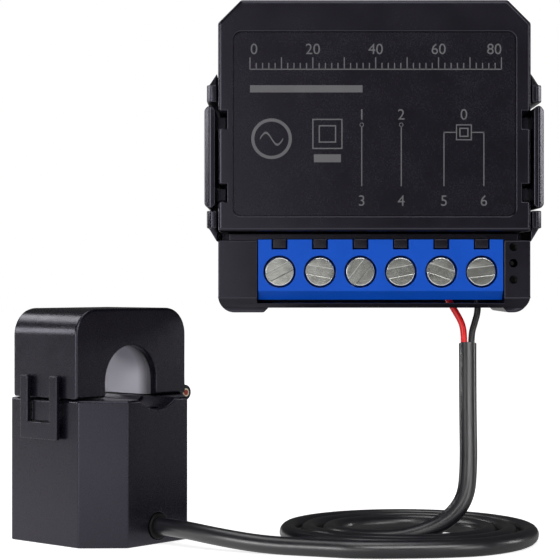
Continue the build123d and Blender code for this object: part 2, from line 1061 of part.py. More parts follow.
def body_corners(inset=0):
    """The outline of the clamp's lower body, or a smaller one inside it."""
    half = body_half_width - inset
    slope = hypot(body_half_width - body_face_half, body_front - body_back)
    lean = (body_half_width - body_face_half) / slope
    rise = (body_front - body_back) / slope
    face_half = body_face_half - inset * (1 - lean) / rise
    shoulder = body_back - inset * (1 - rise) / lean
    return [
        (-half, body_back - inset),
        (-half, -shoulder),
        (-face_half, inset - body_front),
        (face_half, inset - body_front),
        (half, -shoulder),
        (half, body_back - inset),
    ]


def arch(middle, radius, low, mode=Mode.ADD):
    """A round top about a middle height with upright legs down to a low one, in the open sketch."""
    with Locations((0, middle)):
        Circle(radius, mode=mode)
    with Locations((0, (middle + low) / 2)):
        Rectangle(2 * radius, middle - low, mode=mode)


body_depth = body_front + body_back

# Lower body of the clamp: shell, trough, core windows, catch and hinge ears
with BuildPart() as clamp_body:
    slab(level(0), body_corners(), body_height)
    upright = clamp_body.edges().filter_by(Axis.Z)
    chamfer(upright + clamp_body.faces().sort_by(Axis.Z)[-1].edges(), body_edge)
    slab(level(0), body_corners(body_wall), body_height - body_roof, mode=Mode.SUBTRACT)
    rod(across(body_back - touch), 0, trough_height, trough_radius + trough_wall, body_depth - 2 * body_wall)
    pad(
        across(body_back + overrun),
        -body_half_width,
        body_half_width,
        body_height,
        jaw_top,
        body_depth + 2 * overrun,
        mode=Mode.SUBTRACT,
    )
    rod(across(body_back + overrun), 0, trough_height, scoop_radius, body_depth + 2 * overrun, mode=Mode.SUBTRACT)
    rod(across(liner_half_depth), 0, trough_height, trough_radius, 2 * liner_half_depth, mode=Mode.SUBTRACT)
    for side in (-1, 1):
        near, far = sorted((side * (limb_inner - slip), side * (limb_outer + slip)))
        pad(
            level(body_height - body_roof - overrun),
            near,
            far,
            -core_half_depth - slip,
            core_half_depth + slip,
            body_roof + 2 * overrun,
            mode=Mode.SUBTRACT,
        )
    pad(
        along(-body_half_width - catch_proud),
        -catch_width / 2,
        catch_width / 2,
        catch_low,
        catch_high,
        catch_proud + touch,
    )
    rod(across(hinge_half_depth), hinge_x, hinge_height, knuckle_radius + knuckle_gap, 2 * hinge_half_depth,
        mode=Mode.SUBTRACT)
    for mouth in (hinge_half_depth, ear_length - hinge_half_depth):
        rod(across(mouth), hinge_x, hinge_height, knuckle_radius, ear_length)
        slab(
            across(mouth),
            [
                (body_half_width - body_wall / 2, knuckle_foot),
                (body_half_width, knuckle_foot),
                (hinge_x + knuckle_radius * cos(radians(20)), hinge_height - knuckle_radius * sin(radians(20))),
                (hinge_x, hinge_height),
                (body_half_width - body_wall / 2, body_height - touch),
            ],
            ear_length,
        )
    rod(across(hinge_half_depth + overrun), hinge_x, hinge_height, ring_radius, 2 * (hinge_half_depth + overrun),
        mode=Mode.SUBTRACT)
    rod(across(overrun - body_front + body_wall), 0, grommet_height, grommet_radius, body_wall + 2 * overrun,
        mode=Mode.SUBTRACT)
keep(clamp_body, "clamp_body")

# Floor of the lower body, with a rib under each limb of the core
with BuildPart() as clamp_floor:
    slab(level(0), body_corners(body_wall + seat), floor_thickness)
    for side in (-1, 1):
        near, far = sorted((side * limb_inner, side * limb_outer))
        pad(level(floor_thickness - touch), near, far, -floor_rib, floor_rib,
            yoke_low - floor_thickness + touch)
    rod(across(2 * overrun - body_front + body_wall), 0, grommet_height, grommet_radius + slip,
        body_wall + 3 * overrun, mode=Mode.SUBTRACT)
keep(clamp_floor, "clamp_floor")

# Trough liner of the body and arch liner of the jaw
with BuildPart() as trough_liner:
    with BuildSketch(across(liner_half_depth - seat)):
        with Locations((0, trough_height)):
            Circle(trough_radius - seat)
        with Locations((0, bore_height)):
            Circle(bore_radius, mode=Mode.SUBTRACT)
        with Locations((0, body_height + trough_height / 2)):
            Rectangle(2 * body_half_width, trough_height, mode=Mode.SUBTRACT)
    extrude(amount=2 * (liner_half_depth - seat))
keep(trough_liner, "trough_liner")

with BuildPart() as jaw_liner:
    with BuildSketch(across(liner_half_depth - seat)):
        arch(mouth_height, arch_radius, jaw_base)
        with Locations((0, jaw_base + liner_thickness / 2)):
            Rectangle(2 * (jaw_half_width - jaw_wall - seat), liner_thickness)
        arch(bore_height, bore_radius, jaw_base, mode=Mode.SUBTRACT)
        with Locations((0, jaw_base / 2)):
            Rectangle(2 * jaw_half_width, jaw_base, mode=Mode.SUBTRACT)
    extrude(amount=2 * (liner_half_depth - seat))
    for side in (-1, 1):
        near, far = sorted((side * (limb_inner - slip), side * (limb_outer + slip)))
        pad(
            level(jaw_base - overrun),
            near,
            far,
            -core_half_depth - slip,
            core_half_depth + slip,
            liner_thickness + 2 * overrun,
            mode=Mode.SUBTRACT,
        )
keep(jaw_liner, "jaw_liner")

# Jaw: cap with an arch through it and a hinge knuckle
jaw_inner = jaw_half_width - jaw_wall
with BuildPart() as clamp_jaw:
    pad(across(jaw_back), -jaw_half_width, jaw_right, jaw_base, jaw_top, jaw_back + jaw_front)
    crest = clamp_jaw.faces().sort_by(Axis.Z)[-1]
    fillet(crest.edges().sort_by(SortBy.LENGTH)[:2], jaw_corner)
    ends = clamp_jaw.faces().sort_by(lambda face: face.center().dot(clamp_frame.y_dir))
    chamfer(ends[0].edges() + ends[-1].edges(), jaw_edge)
    with BuildSketch(across(liner_half_depth)) as cavity:
        with Locations((0, (jaw_base - overrun + jaw_top - jaw_roof) / 2)):
            Rectangle(2 * jaw_inner, jaw_top - jaw_roof - jaw_base + overrun)
        fillet(cavity.vertices().group_by(Axis.Y)[-1], jaw_cavity_corner)
    extrude(amount=2 * liner_half_depth, mode=Mode.SUBTRACT)
    with BuildSketch(across(jaw_back + overrun)):
        arch(mouth_height, mouth_radius, jaw_base - overrun)
    extrude(amount=jaw_back + jaw_front + 2 * overrun, mode=Mode.SUBTRACT)
    for mouth in (hinge_half_depth + ear_gap, ear_length + knuckle_gap - hinge_half_depth):
        rod(
            across(mouth),
            hinge_x,
            hinge_height,
            knuckle_radius + knuckle_gap,
            ear_length + knuckle_gap + ear_gap,
            mode=Mode.SUBTRACT,
        )
    knuckle_half = hinge_half_depth - ear_length - knuckle_gap
    rod(across(knuckle_half), hinge_x, hinge_height, knuckle_radius, 2 * knuckle_half)
    slab(
        across(knuckle_half),
        [
            (jaw_half_width - jaw_wall / 2, jaw_base),
            (hinge_x, hinge_height),
            (hinge_x + knuckle_radius * cos(radians(30)), hinge_height + knuckle_radius * sin(radians(30))),
            (jaw_right, hinge_height + 2 * knuckle_radius),
            (jaw_half_width - jaw_wall / 2, hinge_height + 2 * knuckle_radius),
        ],
        2 * knuckle_half,
    )
    rod(
        across(hinge_half_depth + ear_gap),
        hinge_x,
        hinge_height,
        hinge_pin_radius + hinge_running,
        2 * (hinge_half_depth + ear_gap),
        mode=Mode.SUBTRACT,
    )
keep(clamp_jaw, "clamp_jaw")

# Hinge pin, and a ring round it in each ear
with BuildPart() as hinge_pin:
    rod(
        across(hinge_half_depth + hinge_pin_proud),
        hinge_x,
        hinge_height,
        hinge_pin_radius,
        2 * (hinge_half_depth + hinge_pin_proud),
    )
keep(hinge_pin, "hinge_pin")

with BuildPart() as hinge_rings:
    for mouth in (hinge_half_depth, ear_length - hinge_half_depth):
        with BuildSketch(across(mouth)):
            with Locations((hinge_x, hinge_height)):
                Circle(ring_radius - seat)
                Circle(hinge_pin_radius + seat, mode=Mode.SUBTRACT)
        extrude(amount=ear_length)
keep(hinge_rings, "hinge_rings")

# Latch: a U of two arms and a sill, on a knuckle beside the jaw
latch_inner = -body_half_width - latch_stand_off
latch_outer = latch_inner - latch_thickness
latch_axis_x = -jaw_half_width - slip - latch_pivot_radius
with BuildPart() as jaw_latch:
    with BuildSketch(along(latch_outer)):
        with Locations((0, (latch_foot + latch_pivot_height + latch_pivot_radius) / 2)):
            Rectangle(latch_width, latch_pivot_height + latch_pivot_radius - latch_foot)
        with Locations((0, latch_sill + bore_height / 2)):
            Rectangle(latch_window, bore_height, mode=Mode.SUBTRACT)
    extrude(amount=latch_thickness)
    for side in (-1, 1):
        near, far = sorted((side * latch_window / 2, side * latch_width / 2))
        rod(
            across(far),
            latch_axis_x,
            latch_pivot_height,
            latch_pivot_radius,
            far - near,
        )
keep(jaw_latch, "jaw_latch")

# Cores: a lower one with a yoke under the winding, an upper one with a crown over the bore
with BuildPart() as lower_core:
    pad(across(core_half_depth), -limb_outer, limb_outer, yoke_low, yoke_low + yoke_thickness,
        2 * core_half_depth)
    for side in (-1, 1):
        near, far = sorted((side * limb_inner, side * limb_outer))
        pad(across(core_half_depth), near, far, yoke_low, pole_face_low, 2 * core_half_depth)
keep(lower_core, "lower_core")

with BuildPart() as upper_core:
    pad(across(core_half_depth), -limb_outer, limb_outer, crown_top - crown_thickness, crown_top,
        2 * core_half_depth)
    for side in (-1, 1):
        near, far = sorted((side * limb_inner, side * limb_outer))
        pad(across(core_half_depth), near, far, pole_face_high, crown_top, 2 * core_half_depth)
keep(upper_core, "upper_core")

# Leaf spring between the upper core and the jaw's roof
with BuildPart() as core_spring:
    pad(across(core_half_depth / 2), -spring_half_width, spring_half_width, crown_top,
        crown_top + spring_thickness, core_half_depth)
keep(core_spring, "core_spring")

# Bobbin on the yoke, and the winding on it
yoke_middle = yoke_low + yoke_thickness / 2
tube_half_height = yoke_thickness / 2 + slip + tube_wall
tube_half_depth = core_half_depth + slip + tube_wall
with BuildPart() as winding_bobbin:
    pad(along(-spool_half), -tube_half_depth, tube_half_depth, yoke_middle - tube_half_height,
        yoke_middle + tube_half_height, 2 * spool_half)
    for start in (-spool_half, spool_half - flange_thickness):
        pad(along(start), -flange_half - tube_wall, flange_half + tube_wall, yoke_middle - flange_half + tube_wall,
            yoke_middle + flange_half, flange_thickness)
    pad(along(-spool_half - overrun), -core_half_depth - slip, core_half_depth + slip,
        yoke_low - slip, yoke_low + yoke_thickness, 2 * (spool_half + overrun), mode=Mode.SUBTRACT)
keep(winding_bobbin, "winding_bobbin")

with BuildPart() as secondary_winding:
    with BuildSketch(along(flange_thickness + touch - spool_half)):
        with Locations((0, yoke_middle)):
            RectangleRounded(
                2 * (flange_half + tube_wall - coil_margin),
                2 * (flange_half - tube_wall - coil_margin),
                coil_margin,
            )
            Rectangle(2 * (tube_half_depth + seat), 2 * (tube_half_height + seat), mode=Mode.SUBTRACT)
    extrude(amount=2 * (spool_half - flange_thickness - touch))
keep(secondary_winding, "secondary_winding")

# Solder board behind the grommet
with BuildPart() as clamp_board:
    pad(across(-plate_set + plate_thickness), -plate_x, plate_x, floor_thickness,
        floor_thickness + plate_height, plate_thickness)
keep(clamp_board, "clamp_board")

# Grommet in the front of the lower body
grommet_mouth = body_front + grommet_proud
with BuildPart() as cord_grommet:
    rod(across(grommet_length - grommet_mouth), 0, grommet_height, grommet_radius - seat, grommet_length)
    outer_face = cord_grommet.faces().sort_by(lambda face: face.center().dot(clamp_frame.y_dir))[0]
    chamfer(outer_face.edges(), grommet_edge)
keep(cord_grommet, "cord_grommet")


def bend_radii(points):
    """The radius of each corner of a route: as large as its two runs allow."""
    radii = []
    for before, corner, after in zip(points, points[1:], points[2:]):
        run_in = Vector(corner) - Vector(before)
        run_out = Vector(after) - Vector(corner)
        half_turn = radians(run_in.get_angle(run_out)) / 2
        radii.append(bend_share * min(run_in.length, run_out.length) / tan(half_turn))
    return radii


def wire_along(points, radius):
    """A round wire on straight runs joined by tangent arcs."""
    radii = bend_radii(points)
    with BuildPart() as wire:
        with BuildLine() as route:
            FilletPolyline(*points, radius=radii)
        with BuildSketch(Plane(origin=route.line @ 0, z_dir=route.line % 0)):
            Circle(radius)
        sweep()
    length = sum(edge.length for edge in route.edges())
    share = wire.part.volume / (pi * radius**2 * length)
    print("length", round(length, 2), "volume share", round(share, 4), "radii", [round(r, 2) for r in radii])
    return wire, length


# The cord's route. Heights count from the surface. It leaves the grommet square to the clamp's front,
# comes down to the surface, runs into the coil's outer turn, and rises from within the inner one.
cord_height = surface_z + jacket_radius
mouth_point = clamp_frame.from_local_coords((0, -grommet_mouth, grommet_height))
mouth_way = -clamp_frame.y_dir
coil_start = (coil_centre[0] - coil_tail, coil_centre[1] - coil_half_depth)
coil_end = (
    coil_centre[0] - coil_tail,
    coil_centre[1] + coil_half_depth - coil_quarters * coil_pitch / 4 - coil_tuck,
)
first_run = 3.9
lead_route = [
    mouth_point,
    mouth_point + mouth_way * first_run,
    Vector(-19.6, -18.7, surface_z + 1.75),
    Vector(-13.6, -21.3, cord_height),
    Vector(-6.8, -23.5, cord_height),
    Vector(-1.9, coil_start[1], cord_height),
    Vector(*coil_start, cord_height),
]
second_run = 1.9
riser_route = [
    Vector(*coil_end, cord_height),
    Vector(coil_end[0] - second_run, coil_end[1], cord_height),
    Vector(-2.3, -3.2, cord_height),
    Vector(-4.25, -5.5, cord_height),
    Vector(-5.3, -8.1, cord_height),
    Vector(-5.3, -10.9, cord_height),
    Vector(-3.95, -13.6, cord_height),
    Vector(-0.9, -15.8, cord_height),
    Vector(3.6, -17.0, surface_z + 1.3),
    Vector(8.6, -17.1, surface_z + 3.0),
    Vector(11.45, -16.6, surface_z + 5.9),
    Vector(12.05, -15.6, surface_z + 9.8),
    Vector(12.15, -13.3, surface_z + 17.4),
    Vector(12.35, -11.3, surface_z + 25.6),
]
jacket_end = riser_route[-1]
jacket_way = (riser_route[-1] - riser_route[-2]).normalized()
core_straight = 1.2
red_start = jacket_end - Vector(core_wire_offset, 0, 0)
black_start = jacket_end + Vector(core_wire_offset, 0, 0)
core_end_y = core_wire_radius + touch - contact_depth
core_end_z = contact_foot_z + loose
red_end = Vector(pole_places[-2] + red_aside, core_end_y, core_end_z)
black_end = Vector(pole_places[-1] + black_aside, core_end_y, core_end_z)
red_route = [
    red_start,
    red_start + jacket_way * core_straight,
    Vector(11.65, -10.9, -21.0),
    Vector(10.6, -10.6, -19.2),
    red_end,
]
black_route = [
    black_start,
    black_start + jacket_way * core_straight,
    Vector(13.25, -10.85, -21.2),
    Vector(13.85, -10.6, -19.2),
    black_end,
]

cord_lead, lead_length = wire_along(lead_route, jacket_radius)
keep(cord_lead, "cord_lead")
cord_riser, riser_length = wire_along(riser_route, jacket_radius)
keep(cord_riser, "cord_riser")
core_red, red_length = wire_along(red_route, core_wire_radius)
keep(core_red, "core_red")
core_black, black_length = wire_along(black_route, core_wire_radius)
keep(core_black, "core_black")

# Bare ends of the two cores, between contact bar and cage
with BuildPart() as core_ends:
    for end in (red_end, black_end):
        rod(
            lying(end.Z),
            end.X,
            wire_gap / 2 - contact_depth,
            strand_radius,
            strand_end_z - end.Z,
        )
keep(core_ends, "core_ends")


def spiral_place(quarter):
    """The coil's point at a count of quarter turns from its front, and the way it runs there."""
    shrink = coil_pitch * quarter / 4
    if quarter == coil_quarters:
        shrink += coil_tuck
    out_x, out_y = ((0, -1), (1, 0), (0, 1), (-1, 0))[quarter % 4]
    point = Vector(
        coil_centre[0] + out_x * (coil_half_width - shrink),
        coil_centre[1] + out_y * (coil_half_depth - shrink),
        cord_height,
    )
    return point, Vector(-out_y, out_x, 0)


def biarc_join(start, start_way, end, end_way):
    """The point where two arcs of equal tangent length meet, and the way they run there."""
    span = (end - start).dot(start_way)
    rise = (end - start).dot(end_way)
    reach = (sqrt((span + rise) ** 2 + 2 * (span**2 + rise**2)) - span - rise) / 2
    first, second = start + start_way * reach, end - end_way * reach
    return (first + second) / 2, (second - first).normalized()


# The coil: two and a half turns flat on the surface, swept on two arcs to each quarter turn
with BuildPart() as cord_coil:
    with BuildLine() as coil_path:
        here, way = spiral_place(0)
        Line(here - way * coil_tail, here)
        for quarter in range(coil_quarters):
            there, next_way = spiral_place(quarter + 1)
            join, join_way = biarc_join(here, way, there, next_way)
            TangentArc(here, join, tangent=way)
            TangentArc(join, there, tangent=join_way)
            here, way = there, next_way
        Line(here, here + way * coil_tail)
    with BuildSketch(Plane(origin=coil_path.line @ 0, z_dir=coil_path.line % 0)):
        Circle(jacket_radius)
    sweep()
keep(cord_coil, "cord_coil")

coil_length = sum(edge.length for edge in coil_path.edges())
coil_share = cord_coil.part.volume / (pi * jacket_radius**2 * coil_length)
places = []
travelled = 0
for edge in coil_path.edges():
    for n in range(samples_per_arc):
        share = n / samples_per_arc
        places.append((travelled + share * edge.length, edge @ share))
    travelled += edge.length
least = min(
    (one - other).length
    for at, one in places
    for further, other in places
    if further - at > pi * (coil_half_width - coil_quarters * coil_pitch / 4)
)
print("coil length", round(coil_length, 2), "volume share", round(coil_share, 4))
print("coil least gap to itself", round(least - 2 * jacket_radius, 3))
print("cord jacket length", round(lead_length + coil_length + riser_length, 2))
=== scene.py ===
"""An energy metering module and its split current clamp, dressed for a studio picture."""

import json
import logging
import math
from dataclasses import dataclass, field
from enum import Enum
from typing import Any, Iterable, Sequence

import bmesh
import bpy
from mathutils import Matrix, Vector


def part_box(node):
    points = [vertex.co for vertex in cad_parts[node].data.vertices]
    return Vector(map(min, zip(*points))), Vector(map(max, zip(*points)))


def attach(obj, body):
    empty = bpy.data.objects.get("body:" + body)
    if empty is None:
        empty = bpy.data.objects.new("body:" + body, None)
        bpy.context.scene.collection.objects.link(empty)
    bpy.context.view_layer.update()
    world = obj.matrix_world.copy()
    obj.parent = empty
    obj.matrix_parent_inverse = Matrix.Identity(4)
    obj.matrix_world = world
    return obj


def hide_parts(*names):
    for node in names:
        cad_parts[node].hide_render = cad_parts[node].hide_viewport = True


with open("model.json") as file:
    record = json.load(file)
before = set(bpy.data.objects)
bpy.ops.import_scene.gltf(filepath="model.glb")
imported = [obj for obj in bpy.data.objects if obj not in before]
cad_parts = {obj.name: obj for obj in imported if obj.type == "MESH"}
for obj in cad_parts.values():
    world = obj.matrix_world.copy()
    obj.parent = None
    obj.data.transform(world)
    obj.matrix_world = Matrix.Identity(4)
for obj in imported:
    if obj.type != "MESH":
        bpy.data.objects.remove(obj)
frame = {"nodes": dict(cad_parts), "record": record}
log = logging.getLogger("energy_monitor")

MM = 0.001
Colour = tuple[float, float, float]
BLACK: Colour = (0.0, 0.0, 0.0)
WHITE: Colour = (1.0, 1.0, 1.0)
COOL: Colour = (0.85, 0.81, 1.0)
SQUARE_SIDES = 4

# How far the clamp is turned about Z, and the least angle that counts as an edge, in degrees.
CLAMP_TURN = 49.4
FLAT_ANGLE = 0.5

# Points closer than this are one point.
WELD = 0.001 * MM

# The range that most of a noise node's values are in.
NOISE_RANGE = (0.3, 0.7)


class Signal:
    """A value in a node tree. Arithmetic on it adds Math nodes."""

    def __init__(self, graph: "Graph", socket: bpy.types.NodeSocket) -> None:
        """Keeps the tree and the socket that the value comes from."""
        self.graph = graph
        self.socket = socket

    def _maths(self, operation: str, *values: Any) -> "Signal":
        """Adds one Math node on these values."""
        return self.graph.add("ShaderNodeMath", {"operation": operation}, dict(enumerate(values)))

    def __add__(self, other: Any) -> "Signal":
        """This value plus another."""
        return self._maths("ADD", self, other)

    def __sub__(self, other: Any) -> "Signal":
        """This value minus another."""
        return self._maths("SUBTRACT", self, other)

    def __rsub__(self, other: Any) -> "Signal":
        """Another value minus this one."""
        return self._maths("SUBTRACT", other, self)

    def __mul__(self, other: Any) -> "Signal":
        """This value times another."""
        return self._maths("MULTIPLY", self, other)

    def above(self, edge: float) -> "Signal":
        """One where this value is larger than an edge, and zero elsewhere."""
        return self._maths("GREATER_THAN", self, edge)

    def larger(self, other: Any) -> "Signal":
        """The larger of this value and another."""
        return self._maths("MAXIMUM", self, other)

    def remap(self, low: float, high: float, to_low: float, to_high: float) -> "Signal":
        """This value carried from one range to another, held at its ends.

        Args:
            low: the start of the range it comes from.
            high: the end of that range.
            to_low: what the start becomes.
            to_high: what the end becomes.

        Returns:
            The new value.
        """
        ends = {0: self, 1: low, 2: high, 3: to_low, 4: to_high}
        return self.graph.add("ShaderNodeMapRange", {}, ends)

    def spread(self, to_low: float, to_high: float) -> "Signal":
        """A cloudy value's usual range carried to another one."""
        return self.remap(*NOISE_RANGE, to_low, to_high)

    __radd__ = __add__
    __rmul__ = __mul__


class Graph:
    """The node tree of one material or of the world."""

    def __init__(self, owner: bpy.types.Material | bpy.types.World) -> None:
        """Empties the owner's tree, to be filled."""
        owner.use_nodes = True
        self.tree = owner.node_tree
        self.tree.nodes.clear()

    def add(
        self,
        kind: str,
        settings: dict[str, Any] | None = None,
        inputs: dict[Any, Any] | None = None,
        output: int | str = 0,
    ) -> Signal:
        """Adds a node.

        Args:
            kind: the node's type.
            settings: its own settings, set first.
            inputs: values or links of its sockets, by name or number.
            output: the socket that the result is read from.

        Returns:
            The node's output.
        """
        node = self.tree.nodes.new(kind)
        for name, value in (settings or {}).items():
            setattr(node, name, value)
        for name, value in (inputs or {}).items():
            if isinstance(value, Signal):
                self.tree.links.new(value.socket, node.inputs[name])
            elif isinstance(value, tuple) and len(value) == 3 and node.inputs[name].type == "RGBA":
                node.inputs[name].default_value = (*value, 1.0)
            else:
                node.inputs[name].default_value = value
        return Signal(self, node.outputs[output] if len(node.outputs) else None)

    def place(self, scale: Sequence[float] = (1, 1, 1), turn: float = 0.0) -> Signal:
        """The place on the object, stretched along its axes and turned about its upright.

        Args:
            scale: how much each axis is stretched.
            turn: the turn about Z, in degrees.

        Returns:
            A vector.
        """
        spot = self.add("ShaderNodeTexCoord", {}, {}, "Object")
        if turn:
            angle = (0, 0, math.radians(turn))
            spot = self.add("ShaderNodeMapping", {}, {"Vector": spot, "Rotation": angle})
        return self.add("ShaderNodeMapping", {}, {"Vector": spot, "Scale": tuple(scale)})

    def part(self, vector: Signal, axis: int) -> Signal:
        """One number of a vector, by its axis: 0 for X, 1 for Y, 2 for Z."""
        return self.add("ShaderNodeSeparateXYZ", {}, {0: vector}, axis)

    def ray(self, kind: str) -> Signal:
        """One for light rays of a kind, and zero for the others."""
        return self.add("ShaderNodeLightPath", {}, {}, f"Is {kind} Ray")

    def noise(self, where: Signal, size: float, detail: float = 3.0, rough: float = 0.5) -> Signal:
        """A cloudy value with features of one size.

        Args:
            where: the place it is read at.
            size: the width of its features, in metres.
            detail: how many finer layers it has.
            rough: how strong the finer layers are.

        Returns:
            A value about 0.5.
        """
        inputs = {"Vector": where, "Scale": 1 / size, "Detail": detail, "Roughness": rough}
        return self.add("ShaderNodeTexNoise", {}, inputs)

    def bands(self, where: Signal, scale: float, distortion: float, detail: float) -> Signal:
        """Bands that lie side by side along X.

        Args:
            where: the place they are read at.
            scale: how close they are.
            distortion: how far they wander.
            detail: how many finer layers that has.

        Returns:
            A value from 0 to 1.
        """
        settings = {"wave_type": "BANDS", "bands_direction": "X"}
        inputs = {"Vector": where, "Scale": scale, "Distortion": distortion, "Detail": detail}
        return self.add("ShaderNodeTexWave", settings, inputs)

    def blend(self, share: Any, first: Any, second: Any) -> Signal:
        """Two colours mixed by a share of the second."""
        kind = {"data_type": "RGBA"}
        return self.add("ShaderNodeMix", kind, {0: share, 6: first, 7: second}, 2)

    def bump(self, height: Signal, depth: float, strength: float = 1.0) -> Signal:
        """A surface normal raised by a height from 0 to 1.

        Args:
            height: the height.
            depth: what a height of 1 stands for, in metres.
            strength: how much of it shows.

        Returns:
            A normal.
        """
        inputs = {"Height": height, "Distance": depth, "Strength": strength}
        return self.add("ShaderNodeBump", {}, inputs)

    def surface(self, **inputs: Any) -> None:
        """Ends the tree in a Principled shader.

        Args:
            inputs: values or links of its sockets, by name with spaces as underscores.
        """
        sockets = {name.replace("_", " "): value for name, value in inputs.items()}
        shader = self.add("ShaderNodeBsdfPrincipled", {}, sockets)
        self.add("ShaderNodeOutputMaterial", {}, {"Surface": shader})


def shaded(colour: Colour, factor: float) -> Colour:
    """A colour made lighter or darker by a factor."""
    return (colour[0] * factor, colour[1] * factor, colour[2] * factor)


@dataclass(frozen=True)
class Recipe:
    """A named material that is worked out from the place on the object."""

    name: str

    def material(self) -> bpy.types.Material:
        """Builds the material."""
        made = bpy.data.materials.new(self.name)
        self.paint(Graph(made))
        return made

    def paint(self, graph: Graph) -> None:
        """Fills the material's node tree."""
        raise NotImplementedError


@dataclass(frozen=True)
class Moulding(Recipe):
    """Moulded plastic with a spark-eroded grain and a slight cloudiness."""

    colour: Colour
    roughness: float = 0.4
    specular: float = 0.4
    grain: float = 0.12 * MM
    grain_depth: float = 0.0018 * MM
    cloud: float = 4.0 * MM
    variation: float = 0.12
    tint: Colour = WHITE
    grain_gloss: float = 0.04
    cloud_gloss: float = 0.02

    def paint(self, graph: Graph) -> None:
        """Fills the material's node tree."""
        spot = graph.place()
        cloud = graph.noise(spot, self.cloud)
        grain = graph.noise(spot, self.grain, 2.0)
        colour = graph.blend(
            cloud.spread(0.0, 1.0),
            shaded(self.colour, 1 - self.variation),
            shaded(self.colour, 1 + self.variation),
        )
        low, high = self.roughness - self.grain_gloss, self.roughness + self.grain_gloss
        graph.surface(
            Base_Color=colour,
            Roughness=grain.spread(low, high) + cloud.spread(-self.cloud_gloss, self.cloud_gloss),
            Normal=graph.bump(grain, self.grain_depth),
            Specular_IOR_Level=self.specular,
            Specular_Tint=self.tint,
        )


@dataclass(frozen=True)
class PlatedSteel(Recipe):
    """Plated steel with fine turned or drawn marks."""

    colour: Colour
    roughness: float = 0.34
    mark: float = 0.05 * MM
    stretch: Sequence[float] = (1, 1, 8)
    depth: float = 0.003 * MM
    bloom: float = 1.2 * MM
    bloom_range: Sequence[float] = (0.35, 0.65)
    dull: float = 0.82
    bright: float = 1.12
    smoother: float = 0.07
    rougher: float = 0.09

    def paint(self, graph: Graph) -> None:
        """Fills the material's node tree."""
        drawn = graph.noise(graph.place(self.stretch), self.mark * 4, 4.0, 0.6)
        bloom = graph.noise(graph.place(), self.bloom).remap(*self.bloom_range, 0.0, 1.0)
        low, high = self.roughness - self.smoother, self.roughness + self.rougher
        graph.surface(
            Base_Color=graph.blend(
                bloom, shaded(self.colour, self.dull), shaded(self.colour, self.bright)
            ),
            Metallic=1.0,
            Roughness=drawn.spread(low, high),
            Normal=graph.bump(drawn, self.depth),
        )


@dataclass(frozen=True)
class Jacket(Recipe):
    """Smooth extruded wire or cord covering, with faint draw marks."""

    colour: Colour
    roughness: float = 0.3
    specular: float = 0.5
    smear: float = 2.2 * MM
    grain: float = 0.16 * MM
    grain_depth: float = 0.002 * MM
    variation: float = 0.15
    smoother: float = 0.04
    rougher: float = 0.05

    def paint(self, graph: Graph) -> None:
        """Fills the material's node tree."""
        spot = graph.place()
        smear = graph.noise(spot, self.smear)
        grain = graph.noise(spot, self.grain, 2.0)
        graph.surface(
            Base_Color=graph.blend(
                smear,
                shaded(self.colour, 1 - self.variation),
                shaded(self.colour, 1 + self.variation),
            ),
            Roughness=smear.spread(self.roughness - self.smoother, self.roughness + self.rougher),
            Normal=graph.bump(grain, self.grain_depth),
            Specular_IOR_Level=self.specular,
        )


@dataclass(frozen=True)
class SolderMask(Recipe):
    """Green board lacquer over copper tracks."""

    lacquer: Colour = (0.012, 0.12, 0.045)
    track: Colour = (0.03, 0.24, 0.09)
    pitch: float = 1.3 * MM
    closeness: float = 0.16
    wander: float = 3.0
    track_share: float = 0.62
    track_height: float = 0.03 * MM
    fleck: float = 0.3 * MM

    def paint(self, graph: Graph) -> None:
        """Fills the material's node tree."""
        spot = graph.place()
        lanes = graph.bands(spot, self.closeness / self.pitch, self.wander, 0.0)
        tracks = lanes.above(self.track_share)
        graph.surface(
            Base_Color=graph.blend(tracks, self.lacquer, self.track),
            Roughness=graph.noise(spot, self.fleck).spread(0.25, 0.38),
            Normal=graph.bump(tracks, self.track_height, 0.6),
        )


@dataclass(frozen=True)
class BoreLining(Recipe):
    """Pale moulded plastic along the clamp's bore, with a painted shadow darkening it towards its
    front end.
    """

    colour: Colour
    front: float = 18.55 * MM
    inner: float = 20.3 * MM
    # How dark the painted shadow at the lining's front end is.
    front_tone: float = 0.12
    grain: float = 0.2 * MM
    grain_depth: float = 0.003 * MM

    def paint(self, graph: Graph) -> None:
        """Fills the material's node tree."""
        spot = graph.place(turn=-CLAMP_TURN)
        # Painted shadow: the colour darkens towards the bore's front end, where the jaw keeps the
        # light off the lining.
        share = graph.part(spot, 1).remap(self.front, self.inner, 0.0, 1.0)
        grain = graph.noise(spot, self.grain, 2.0)
        graph.surface(
            Base_Color=graph.blend(share, shaded(self.colour, self.front_tone), self.colour),
            Roughness=grain.spread(0.3, 0.4),
            Normal=graph.bump(grain, self.grain_depth),
        )


@dataclass(frozen=True)
class Wound(Recipe):
    """Enamelled wire in close turns, with painted shade in the grooves between them."""

    colour: Colour
    wire: float
    lie: Sequence[float]
    turn: float = 0.0
    closeness: float = 0.314
    wander: float = 0.6
    # How dark the painted shade in the grooves between turns is.
    groove_tone: float = 0.35
    groove_depth: float = 0.06 * MM

    def paint(self, graph: Graph) -> None:
        """Fills the material's node tree."""
        spot = graph.place(self.lie, self.turn)
        turns = graph.bands(spot, self.closeness / self.wire, self.wander, 1.0)
        graph.surface(
            # Painted shade: the colour darkens in the grooves between the turns.
            Base_Color=graph.blend(turns, shaded(self.colour, self.groove_tone), self.colour),
            Roughness=turns.remap(0.0, 1.0, 0.5, 0.28),
            Normal=graph.bump(turns, self.groove_depth),
        )


